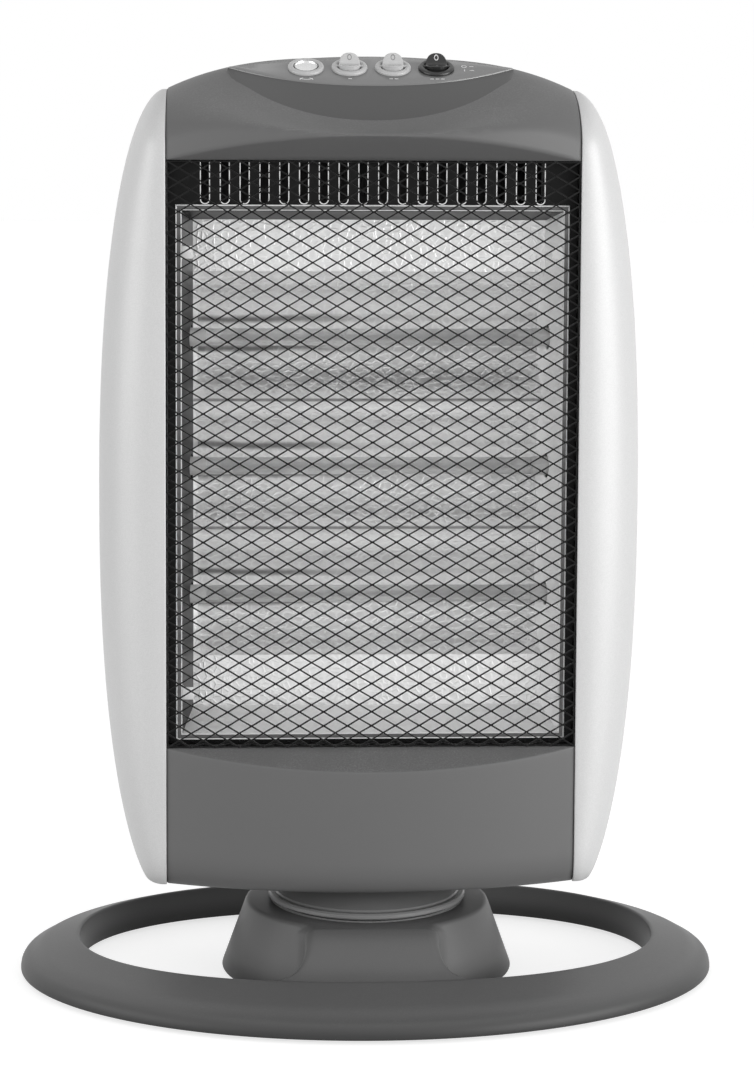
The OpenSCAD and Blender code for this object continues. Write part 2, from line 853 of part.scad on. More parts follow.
module terminal_block() {
    color("beige") translate([44, -12, head_z + wall]) difference() {
        cube([48, 18, 14]);
        for (i = [0 : 3]) translate([6 + i * 12, 9, 6]) cylinder(r = 2.4, h = 10);
    }
}

module thermal_cutout() {
    color("black") translate([62, shield_y, mirror_z + mirror_half - 20]) rotate([-90, 0, 0]) {
        cylinder(r = 8, h = 5);
        translate([-3, -14, 0]) cube([6, 28, 1]);
    }
}

loom_path = [
    [68, -3, head_z + wall + 13], [68, -3, head_z + 36], [loom_x, 41, guard_z - 20],
    [loom_x, 41, guard_top + 4], [60, 16, guard_top + 20], [switch_pitch * 1.5, 0, guard_top + 39]
];

// Bundle of the head's inner leads, eight-sided, through level sections.
module wiring_loom() {
    color("#30343a") loft([for (p = loom_path) [for (k = [0 : 7])
        p + [loom_r * cos(45 * k), loom_r * sin(45 * k), 0]]]);
}

module cord_gland() {
    color("#222222") translate([gland_x, 0, gland_z]) rotate([-90, 0, 0]) rotate_extrude() polygon([
        [cord_r, head_back - wall - 8], [gland_body_r, head_back - wall - 8],
        [gland_body_r, head_back - wall - 3], [9, head_back - wall - 3], [9, head_back - wall],
        [gland_body_r, head_back - wall], [gland_body_r, head_back], [9, head_back],
        [9, head_back + 2], [7, head_back + gland_out], [cord_r, head_back + gland_out]
    ]);
}

// ---------- swivel ----------

module swivel_disc() {
    top = head_z;
    t = 3;
    color("#55565a") difference() {
        rotate_extrude($fn = 96) polygon([
            [disc_r - 0.8, disc_z], [disc_r, disc_z + 0.8], [disc_r, disc_z + disc_t - 0.8],
            [disc_r - 1, disc_z + disc_t], [disc_r - 5, disc_z + disc_t + 1.6],
            [54, dome_z - 6.4], [48, dome_z - 3.6], [42, dome_z - 1.4], [neck_r, dome_z],
            [neck_r, top], [spindle_r + snug, top], [spindle_r + snug, top - t], [neck_r - t, top - t],
            [neck_r - t, dome_z - t], [42, dome_z - t - 1.4], [48, dome_z - t - 3.6],
            [54, dome_z - t - 6.4], [well_r, disc_z + t], [well_r, disc_z]
        ]);
        translate([0, -motor_y, top - t - over]) cylinder(r = shaft_r + 2, h = t + 2 * over);
    }
}

module pivot_spindle() {
    z0 = bush_z - turn_gap - washer_t - nut_h;
    z1 = head_z + wall;
    color("silver") difference() {
        union() {
            translate([0, 0, z0]) cylinder(r = spindle_r, h = z1 - z0);
            translate([0, 0, z1]) cylinder(r = spindle_r + 6, h = 3);
        }
        translate([0, 0, z0 - over]) cylinder(r = spindle_r - 3, h = deep);
    }
}

module spindle_washer() {
    color("silver") translate([0, 0, bush_z - turn_gap - washer_t]) difference() {
        cylinder(r = boss_r, h = washer_t);
        translate([0, 0, -over]) cylinder(r = spindle_r + snug, h = deep);
    }
}

module spindle_nut() {
    color("gray") translate([0, 0, bush_z - turn_gap - washer_t - nut_h]) difference() {
        cylinder(r = spindle_r + 6, h = nut_h, $fn = 6);
        translate([0, 0, -over]) cylinder(r = spindle_r + snug, h = deep);
    }
}

module pivot_bush() {
    color("ivory") translate([0, 0, bush_z]) difference() {
        cylinder(r = bush_r, h = boss_top - bush_z);
        translate([0, 0, -over]) cylinder(r = spindle_r + spindle_gap, h = deep);
    }
}

module slide_ring() {
    color("white") translate([0, 0, ped_z - ring_groove]) difference() {
        cylinder(r = slide_r + slide_w, h = ring_groove, $fn = 96);
        translate([0, 0, -over]) cylinder(r = slide_r, h = deep, $fn = 96);
    }
}

module drive_plate() {
    color("gray") translate([0, 0, web_z]) linear_extrude(plate_t) difference() {
        translate([-14, -slot_out - 7]) square([28, slot_out + 7 - boss_r - 1]);
        translate([0, -(slot_in + slot_out) / 2])
            obround(2 * (roller_r + pin_gap), slot_out - slot_in + 2 * (roller_r + pin_gap));
    }
}

// ---------- base ----------

// A point of the ring at angle a, from its inner edge (s = 0) to its outer edge (s = 1).
function ring_point(a, s, z) =
    let (c = cos(a), d = sin(a), e = 2 / 2.25,
         p = [hole_w / 2 * sign(c) * pow(abs(c), e), hole_shift + hole_d / 2 * sign(d) * pow(abs(d), e)],
         q = [ring_w / 2 * c, ring_d / 2 * d])
    [p[0] + (q[0] - p[0]) * s, p[1] + (q[1] - p[1]) * s, z];

// Cross-section of the ring's open channel: shares of its width, and heights.
ring_section = [
    [0, foot_h], [0, ring_h - 2.2], [0.015, ring_h - 0.7], [0.05, ring_h],
    [0.45, ring_h * 0.46 + rim_h * 0.54 + 2], [0.82, rim_h + 2.2], [0.92, rim_h + 0.3],
    [0.98, rim_h - 3], [1, rim_h - 6.5], [1, foot_h],
    [0.93, foot_h], [0.93, rim_h - 5.4], [0.84, rim_h - 1.6], [0.45, (ring_h + rim_h) / 2 - 3],
    [0.08, ring_h - 5], [0.08, foot_h]
];

module ring_form(n) {
    loft([for (i = [0 : n - 1]) [for (p = ring_section) ring_point(360 * i / n, p[0], p[1])]], loop = true);
}

module pedestal_form(t) {
    z0 = foot_h - (t > 0 ? over : 0);
    rotate_extrude($fn = 96) polygon([
        [0, z0], [ped_foot_r - t, z0], [ped_top_r - t - 1, ped_z - t - 1.5],
        [ped_top_r - t - 3, ped_z - t], [0, ped_z - t]
    ]);
}

// Space beside a bridge: round at the pedestal, long and flat where the bridge spreads to the ring's edge.
function scoop_outline(r, y_end) = let (x = waist_w / 2, y = ped_top_r + 18) concat(
    [for (a = [0 : 6 : 90]) [x + r - r * cos(a), y - r * sin(a)]],
    [[2 * ped_top_r, y - r], [2 * ped_top_r, y_end]],
    [for (a = [90 : -6 : 6]) [x + bridge_flare - bridge_flare * cos(a), y + (y_end - y) * sin(a)]]);

// Bridge from the pedestal to the ring; s is -1 for the front and 1 for the back.
module bridge_form(s, t) {
    y0 = ped_top_r - 20;
    y_edge = hole_d / 2 + s * hole_shift;
    y1 = t > 0 ? y_edge - 4 : y_edge + 22;
    drop = (ped_z - ring_h + 10) / (y_edge + 22 - ped_top_r);
    z0 = foot_h + (t > 0 ? -over : over);
    scoop = 36;
    intersection() {
        mirror([0, s < 0 ? 1 : 0, 0]) across(ped_top_r) polygon([
            [y0, z0], [y0, ped_z - 1 - t], [ped_top_r - 2, ped_z - 1 - t],
            [y1, ped_z - 1 - t - drop * (y1 - ped_top_r + 2)], [y1, z0]
        ]);
        difference() {
            translate([-ped_top_r, s > 0 ? y0 : -y1, 0]) cube([2 * ped_top_r, y1 - y0, ped_z]);
            for (k = [0, 1])
                mirror([0, s < 0 ? 1 : 0, 0]) mirror([k, 0, 0]) translate([0, 0, -over])
                    linear_extrude(deep) offset(delta = t) polygon(scoop_outline(scoop, y_edge + 0.5));
        }
    }
}

foot_places = [for (a = [38, 142, 218, 322]) ring_point(a, 0.5, 0)];

module base_stand() {
    color("#57585b") difference() {
        union() {
            ring_form(60);
            for (p = foot_places) translate([p[0], p[1], foot_h]) cylinder(r = foot_r + 2, h = rim_h + 1);
            difference() {
                union() {
                    pedestal_form(0);
                    bridge_form(-1, 0);
                    bridge_form(1, 0);
                }
                pedestal_form(base_wall);
                bridge_form(-1, base_wall);
                bridge_form(1, base_wall);
            }
            // Web that carries the bush and the drive plate
            translate([0, 0, web_z - base_wall])
                cylinder(r1 = web_r(web_z - base_wall), r2 = web_r(web_z), h = base_wall, $fn = 96);
            translate([0, 0, bush_z]) cylinder(r = boss_r, h = boss_top - bush_z);
            for (a = cover_screw_at)
                rotate(a) translate([cover_screw_r, 0, foot_h + base_wall])
                    cylinder(r = 5, h = web_z - 2 * base_wall);
        }
        translate([0, 0, bush_z - over]) cylinder(r = bush_r, h = deep);
        // Well for the crank, round the central boss
        difference() {
            translate([0, 0, web_z]) cylinder(r = well_r, h = deep, $fn = 96);
            translate([0, 0, web_z - over]) cylinder(r = boss_r, h = boss_top - web_z + over);
        }
        translate([0, 0, ped_z - ring_groove]) difference() {
            cylinder(r = slide_r + slide_w, h = deep, $fn = 96);
            translate([0, 0, -over]) cylinder(r = slide_r, h = 2 * deep, $fn = 96);
        }
        for (a = cover_screw_at)
            rotate(a) translate([cover_screw_r, 0, foot_h]) cylinder(r = screw_r + snug, h = screw_l + 2);
        for (p = foot_places) translate([p[0], p[1], foot_h - over]) cylinder(r = foot_peg_r + snug, h = foot_peg_l + 2 * over);
    }
}

// Inner radius of the pedestal's wall at height z, with a little overlap.
function web_r(z) = ped_foot_r - 1.5 - (ped_foot_r - ped_top_r + 1) * (z - foot_h) / (ped_z - foot_h);

module base_cover() {
    color("#303133") difference() {
        translate([0, 0, foot_h]) cylinder(r = cover_r, h = base_wall);
        for (a = cover_screw_at)
            rotate(a) translate([cover_screw_r, 0, 0]) cylinder(r = screw_r, h = deep);
        translate([0, tip_y, 0]) cylinder(r = tip_r + spindle_gap, h = deep);
    }
}

module base_cover_screws() {
    color("dimgray") for (a = cover_screw_at) rotate(a) translate([cover_screw_r, 0, 0]) {
        translate([0, 0, foot_h]) cylinder(r = screw_r, h = screw_l);
        translate([0, 0, foot_h - 1.6]) cylinder(r1 = 2.8, r2 = 3.6, h = 1.6);
    }
}

module rubber_feet() {
    color("#1a1a1a") for (p = foot_places) translate([p[0], p[1], 0]) {
        cylinder(r = foot_r, h = foot_h);
        cylinder(r = foot_peg_r, h = foot_h + foot_peg_l);
    }
}

module tip_switch() {
    color("#101010") difference() {
        translate([-13, tip_y - 8, foot_h + base_wall]) cube([26, 16, 15]);
        cylinder_at_tip(tip_r + spindle_gap, foot_h + base_wall - over, foot_h + base_wall + 11);
    }
}

module cylinder_at_tip(r, z0, z1) {
    translate([0, tip_y, z0]) cylinder(r = r, h = z1 - z0);
}

module tip_plunger() {
    color("orange") cylinder_at_tip(tip_r, 0, foot_h + base_wall + 10);
}

base_stand();
base_cover();
base_cover_screws();
rubber_feet();
pivot_bush();
slide_ring();
drive_plate();
tip_switch();
tip_plunger();
swivel_disc();
pivot_spindle();
spindle_washer();
spindle_nut();
lower_housing();
top_housing();
left_side_panel();
right_side_panel();
side_panel_screws();
left_side_plate();
right_side_plate();
rear_cover();
rear_cover_screws();
front_frame();
guard_mesh();
reflector();
left_reflector_end();
right_reflector_end();
reflector_tabs();
heat_shield();
upper_lamp_glass();
middle_lamp_glass();
lower_lamp_glass();
upper_lamp_filament();
middle_lamp_filament();
lower_lamp_filament();
upper_lamp_caps();
middle_lamp_caps();
lower_lamp_caps();
left_lamp_holders();
right_lamp_holders();
osc_motor();
motor_shaft();
crank();
crank_roller();
terminal_block();
thermal_cutout();
wiring_loom();
cord_gland();
control_pod();
turn_switch_body();
left_switch_body();
middle_switch_body();
right_switch_body();
turn_button();
left_rocker();
middle_rocker();
right_rocker();
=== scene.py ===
"""Looks of a free-standing radiant heater: three quartz lamps behind a net, on an oval ring base.

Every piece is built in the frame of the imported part, +Z up the swivel axis and -Y to the front.
Sizes are written in millimetres, as a maker gives them, and become metres when a mesh is made.
"""

import logging
from dataclasses import dataclass, field
from enum import Enum
from functools import cache
from math import asin, copysign, cos, dist, pi, radians, sin, sqrt
from typing import Callable, Optional, Sequence

import bmesh
import bpy
from mathutils import Matrix, Quaternion, Vector

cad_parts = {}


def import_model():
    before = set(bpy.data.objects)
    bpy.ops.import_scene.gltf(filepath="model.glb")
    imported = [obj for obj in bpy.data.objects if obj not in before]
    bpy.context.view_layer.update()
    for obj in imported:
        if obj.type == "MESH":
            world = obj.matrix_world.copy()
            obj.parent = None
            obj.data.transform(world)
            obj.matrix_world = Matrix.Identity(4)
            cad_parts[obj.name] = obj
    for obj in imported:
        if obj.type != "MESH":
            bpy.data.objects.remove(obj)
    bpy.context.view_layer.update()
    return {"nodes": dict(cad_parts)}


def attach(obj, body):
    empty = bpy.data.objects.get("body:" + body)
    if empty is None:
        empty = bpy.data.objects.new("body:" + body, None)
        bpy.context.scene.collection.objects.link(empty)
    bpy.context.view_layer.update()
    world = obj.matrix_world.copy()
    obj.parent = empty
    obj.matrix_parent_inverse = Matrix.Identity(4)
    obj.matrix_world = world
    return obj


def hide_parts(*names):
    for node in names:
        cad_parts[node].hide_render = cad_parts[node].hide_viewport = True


LOG = logging.getLogger("heater")
MM = 0.001

Point = tuple[float, float, float]
Flat = tuple[float, float]
Rgb = tuple[float, float, float]
Feed = object
Item = bpy.types.Object
Node = bpy.types.Node
NodeTree = bpy.types.NodeTree
Socket = bpy.types.NodeSocket
Sockets = bpy.types.bpy_prop_collection
KINDS = {int: "Int", float: "Float", tuple: "Vector"}
LAMP_ZS = (417.2, 333.7, 250.2)
SHAFT_Y = -28
SHAFT_HOLE_R = 6.0
WELD = 1e-7  # metres between corners that become one
NEAR = 0.05  # millimetres between points of a line that count as one
SOFT_ANGLE = 35  # degrees above which an edge of a block is softened


# ---- meshes


def bent(p: Vector, c: Vector, q: Vector, steps: int) -> list[Flat]:
    """Points of a curve from p to q that leans towards c."""
    out = []
    for i in range(steps + 1):
        t = i / steps
        v = p * (1 - t) ** 2 + c * 2 * t * (1 - t) + q * t * t
        out.append((v.x, v.y))
    return out


def rounded(corner: Flat, before: Flat, after: Flat, radius: float, steps: int = 4) -> list[Flat]:
    """Points that round a corner of a profile.

    Args:
        corner: The sharp corner.
        before: A point of the profile ahead of it.
        after: A point of the profile past it.
        radius: How far from the corner the rounding starts on each side.
        steps: Number of stretches in the rounding.

    Returns:
        The points of the curve, in the profile's order.
    """
    c, a, b = Vector(corner), Vector(before), Vector(after)
    p = c + (a - c).normalized() * min(radius, (a - c).length * 0.49)
    q = c + (b - c).normalized() * min(radius, (b - c).length * 0.49)
    return bent(p, c, q, steps)


def round_profile(points: Sequence[Flat], radii: Sequence[float]) -> list[Flat]:
    """Rounds the corners of a profile.

    Args:
        points: The sharp profile.
        radii: One radius for each point, 0 where it stays sharp.

    Returns:
        The rounded profile.
    """
    out: list[Flat] = []
    for i, (p, r) in enumerate(zip(points, radii)):
        out += rounded(p, points[i - 1], points[(i + 1) % len(points)], r) if r > 0 else [p]
    return out


def new_item(name: str, data: bpy.types.ID) -> Item:
    """A new object, in the scene."""
    item = bpy.data.objects.new(name, data)
    bpy.context.scene.collection.objects.link(item)
    return item


def make_object(name: str, points: Sequence[Point], faces: Sequence[Sequence[int]]) -> Item:
    """Makes an object from points in millimetres, with its faces turned outwards.

    Args:
        name: Name of the object and its mesh.
        points: Places of the corners, in millimetres.
        faces: Corner numbers of each face.

    Returns:
        The new object, at the origin.
    """
    mesh = bpy.data.meshes.new(name)
    mesh.from_pydata([(x * MM, y * MM, z * MM) for x, y, z in points], [], [tuple(f) for f in faces])
    mesh.update()
    work = bmesh.new()
    work.from_mesh(mesh)
    bmesh.ops.remove_doubles(work, verts=work.verts, dist=WELD)
    bmesh.ops.recalc_face_normals(work, faces=work.faces)
    work.to_mesh(mesh)
    work.free()
    return new_item(name, mesh)


def loft(name: str, rows: Sequence[Sequence[Point]], ring: bool = True, loop: bool = False) -> Item:
    """Skins a row of sections that all have the same number of points.

    Args:
        name: Name of the object.
        rows: The sections, in order.
        ring: Whether each section closes on itself, and the two ends are closed.
        loop: Whether the last section joins the first.

    Returns:
        The skinned object.
    """
    n, m = len(rows[0]), len(rows)
    points = [p for row in rows for p in row]
    faces: list[list[int]] = []
    for i in range(m if loop else m - 1):
        a, b = i * n, ((i + 1) % m) * n
        for j in range(n if ring else n - 1):
            k = (j + 1) % n
            faces.append([a + j, a + k, b + k, b + j])
    if ring and not loop:
        faces.append(list(range(n)))
        faces.append(list(range((m - 1) * n, m * n)))
    return make_object(name, points, faces)


def revolve(name: str, profile: Sequence[Flat], steps: int = 96, centre: Flat = (0, 0)) -> Item:
    """Turns a closed profile of radius and height about an upright axis.

    Args:
        name: Name of the object.
        profile: Radius and height of each point, as a closed outline.
        steps: Number of stations round the axis.
        centre: Where the axis stands.

    Returns:
        The turned object.
    """
    rows = []
    for i in range(steps):
        a = 2 * pi * i / steps
        rows.append([(centre[0] + r * cos(a), centre[1] + r * sin(a), z) for r, z in profile])
    return loft(name, rows, loop=True)


def turned_about(name: str, profile: Sequence[Flat], place: Matrix, steps: int = 64) -> Item:
    """Turns a closed profile and then stands it at a place.

    Args:
        name: Name of the object.
        profile: Radius and height of each point, as a closed outline.
        place: Where the turned shape goes, in millimetres.
        steps: Number of stations round the axis.

    Returns:
        The placed object.
    """
    item = revolve(name, profile, steps)
    set_in_place(item, place)
    return item


def set_in_place(item: Item, place: Matrix) -> None:
    """Moves a mesh by a matrix in millimetres, and leaves its object at the origin."""
    metres = place.copy()
    metres.translation = place.translation * MM
    item.data.transform(metres)
    if metres.determinant() < 0:
        item.data.flip_normals()
    item.data.update()


def box_shape(name: str, low: Point, high: Point, edge: float = 0.0) -> Item:
    """A block between two corners, with softened edges where asked.

    Args:
        name: Name of the object.
        low: Its lowest corner.
        high: Its highest corner.
        edge: Width of the softened edges.

    Returns:
        The block.
    """
    xs, ys, zs = zip(low, high)
    points = [(x, y, z) for z in zs for y in ys for x in xs]
    faces = [(0, 1, 3, 2), (4, 6, 7, 5), (0, 4, 5, 1), (2, 3, 7, 6), (0, 2, 6, 4), (1, 5, 7, 3)]
    item = make_object(name, points, faces)
    if edge > 0:
        bevel = item.modifiers.new("soft_edges", "BEVEL")
        bevel.width, bevel.segments = edge * MM, 2
        bevel.limit_method, bevel.angle_limit = "ANGLE", radians(SOFT_ANGLE)
        bevel.use_clamp_overlap = True
        settle(item)
    return item


def settle(item: Item) -> None:
    """Turns what an object's modifiers make into its own plain mesh."""
    view = bpy.context.evaluated_depsgraph_get()
    view.update()
    made = bpy.data.meshes.new_from_object(item.evaluated_get(view))
    old = item.data
    item.modifiers.clear()
    item.data = made
    made.name = item.name
    if old.users == 0:
        bpy.data.meshes.remove(old)


def cut(item: Item, tools: Sequence[Item], join: bool = False, careful: bool = False) -> None:
    """Cuts tools out of a solid, or joins them to it, and removes the tools.

    Args:
        item: The solid.
        tools: The solids that cut or join it.
        join: Whether the tools are joined on instead of cut away.
        careful: Whether each surface is also checked against itself, which takes longer.
    """
    for tool in tools:
        step = item.modifiers.new("cut", "BOOLEAN")
        step.operation = "UNION" if join else "DIFFERENCE"
        step.solver = "EXACT"
        step.use_self = careful
        step.object = tool
        settle(item)
        drop(tool)


def drop(item: Item) -> None:
    """Removes a helper object and its mesh."""
    mesh = item.data
    bpy.data.objects.remove(item)
    if mesh and mesh.users == 0:
        bpy.data.meshes.remove(mesh)


def merge(items: Sequence[Item], name: str, wears: Optional["Tone"] = None) -> Item:
    """Joins several objects into one mesh, with their materials kept or one for all.

    Args:
        items: The objects, of which the first one stays.
        name: Name of the joined object.
        wears: The finish of the whole, unless each object keeps its own.

    Returns:
        The joined object.
    """
    first = items[0]
    if len(items) > 1:
        with bpy.context.temp_override(active_object=first, object=first, selected_objects=list(items),
                selected_editable_objects=list(items)):
            bpy.ops.object.join()
    first.name = first.data.name = name
    if wears:
        dress(first, wears)
    return first


def moved(x: float, y: float, z: float) -> Matrix:
    """A shift, in millimetres."""
    return Matrix.Translation((x, y, z))


def swung(degrees: float, axis: str) -> Matrix:
    """A turn about an axis."""
    return Matrix.Rotation(radians(degrees), 4, axis)


# ---- node trees


def tone(grey: float, warm: float = 0.0) -> Rgb:
    """Colour of a grey as it is seen on a screen, from 0 to 255.

    Args:
        grey: The screen's grey.
        warm: How much warmer, or below 0 cooler, than neutral, in screen steps.

    Returns:
        The colour as a shader takes it.
    """
    def linear(v: float) -> float:
        """Light of one screen value."""
        v = min(255.0, max(0.0, v)) / 255
        return v / 12.92 if v <= 0.04045 else ((v + 0.055) / 1.055) ** 2.4

    return (linear(grey + warm), linear(grey), linear(grey - warm))


class Tree:
    """A node tree that is being laid out."""

    def __init__(self, tree: NodeTree) -> None:
        """Takes an empty node tree."""
        self.tree = tree

    def node(self, kind: str, feeds: Optional[dict] = None, **settings: Feed) -> Node:
        """Adds a node.

        Args:
            kind: Type of the node.
            feeds: For each input, its value or the socket that feeds it.
            settings: The node's own settings.

        Returns:
            The new node.
        """
        made = self.tree.nodes.new(kind)
        for key, value in settings.items():
            setattr(made, key, value)
        for key, value in (feeds or {}).items():
            self.feed(made.inputs[key], value)
        return made

    def first(self, kind: str, feeds: Optional[dict] = None, **settings: Feed) -> Socket:
        """First output of a node that is added as node does it."""
        return self.node(kind, feeds, **settings).outputs[0]

    def feed(self, socket: Socket, value: Feed) -> None:
        """Gives an input its value, or links it to the socket that feeds it."""
        if isinstance(value, Socket):
            self.tree.links.new(value, socket)
        elif socket.type == "RGBA" and len(value) == 3:
            socket.default_value = (*value, 1.0)
        else:
            socket.default_value = value

    def math(self, work: str, a: Feed, b: Feed = 0.0, clamp: bool = False) -> Socket:
        """Result of one sum on two values."""
        return self.first("ShaderNodeMath", {0: a, 1: b}, operation=work, use_clamp=clamp)

    def times(self, a: Feed, b: Feed) -> Socket:
        """Product of two values."""
        return self.math("MULTIPLY", a, b)

    def plus(self, a: Feed, b: Feed, clamp: bool = False) -> Socket:
        """Sum of two values."""
        return self.math("ADD", a, b, clamp)

    def minus(self, a: Feed, b: Feed) -> Socket:
        """What is left of a value after another is taken off."""
        return self.math("SUBTRACT", a, b)

    def vector(self, work: str, a: Feed, b: Feed = (0, 0, 0)) -> Socket:
        """Result of one sum on two vectors."""
        return self.first("ShaderNodeVectorMath", {0: a, 1: b}, operation=work)

    def spread(self, value: Feed, low: float, high: float, to_low: Feed, to_high: Feed, soft: bool = False) -> Socket:
        """Maps a range of values onto another.

        Args:
            value: The value.
            low: Where the range starts.
            high: Where it ends.
            to_low: What the start becomes.
            to_high: What the end becomes.
            soft: Whether the ends ease in and out.

        Returns:
            The mapped value.
        """
        return self.first("ShaderNodeMapRange", {0: value, 1: low, 2: high, 3: to_low, 4: to_high},
            interpolation_type="SMOOTHSTEP" if soft else "LINEAR")

    def blend(self, share: Feed, a: Feed, b: Feed, way: str = "MIX") -> Socket:
        """Mixes two colours by a share."""
        made = self.node("ShaderNodeMix", {0: share, 6: a, 7: b}, data_type="RGBA", blend_type=way)
        return made.outputs[2]

    def noise(self, place: Feed, per_metre: Feed, detail: float = 3.0, rough: float = 0.5) -> Socket:
        """Cloudy noise between 0 and 1, with so many clouds to a metre."""
        return self.first("ShaderNodeTexNoise", {"Vector": place, "Scale": per_metre, "Detail": detail,
            "Roughness": rough})


def emptied(owner: bpy.types.ID) -> Tree:
    """Empties the node tree of a material or a world, to be laid out."""
    owner.use_nodes = True
    owner.node_tree.nodes.clear()
    return Tree(owner.node_tree)


def new_group(name: str, ins: dict[str, Feed], outs: Sequence[str], gives: str = "Float",
        kind: str = "ShaderNodeTree") -> tuple[Tree, Sockets, Sockets]:
    """Starts a node group with named sockets.

    Args:
        name: Name of the group.
        ins: For each input its first value, or in words its kind of value.
        outs: Names of the outputs.
        gives: Kind of value of the outputs.
        kind: Whether it is a group of shader nodes or of geometry nodes.

    Returns:
        The tree, the sockets that its inputs come from and the sockets that its outputs go to.
    """
    group = bpy.data.node_groups.new(name, kind)
    for label, first in ins.items():
        what = first if isinstance(first, str) else KINDS[type(first)]
        socket = group.interface.new_socket(name=label, in_out="INPUT", socket_type="NodeSocket" + what)
        if what != first:
            socket.default_value = first
    for label in outs:
        group.interface.new_socket(name=label, in_out="OUTPUT", socket_type="NodeSocket" + gives)
    tree = Tree(group)
    return tree, tree.node("NodeGroupInput").outputs, tree.node("NodeGroupOutput").inputs


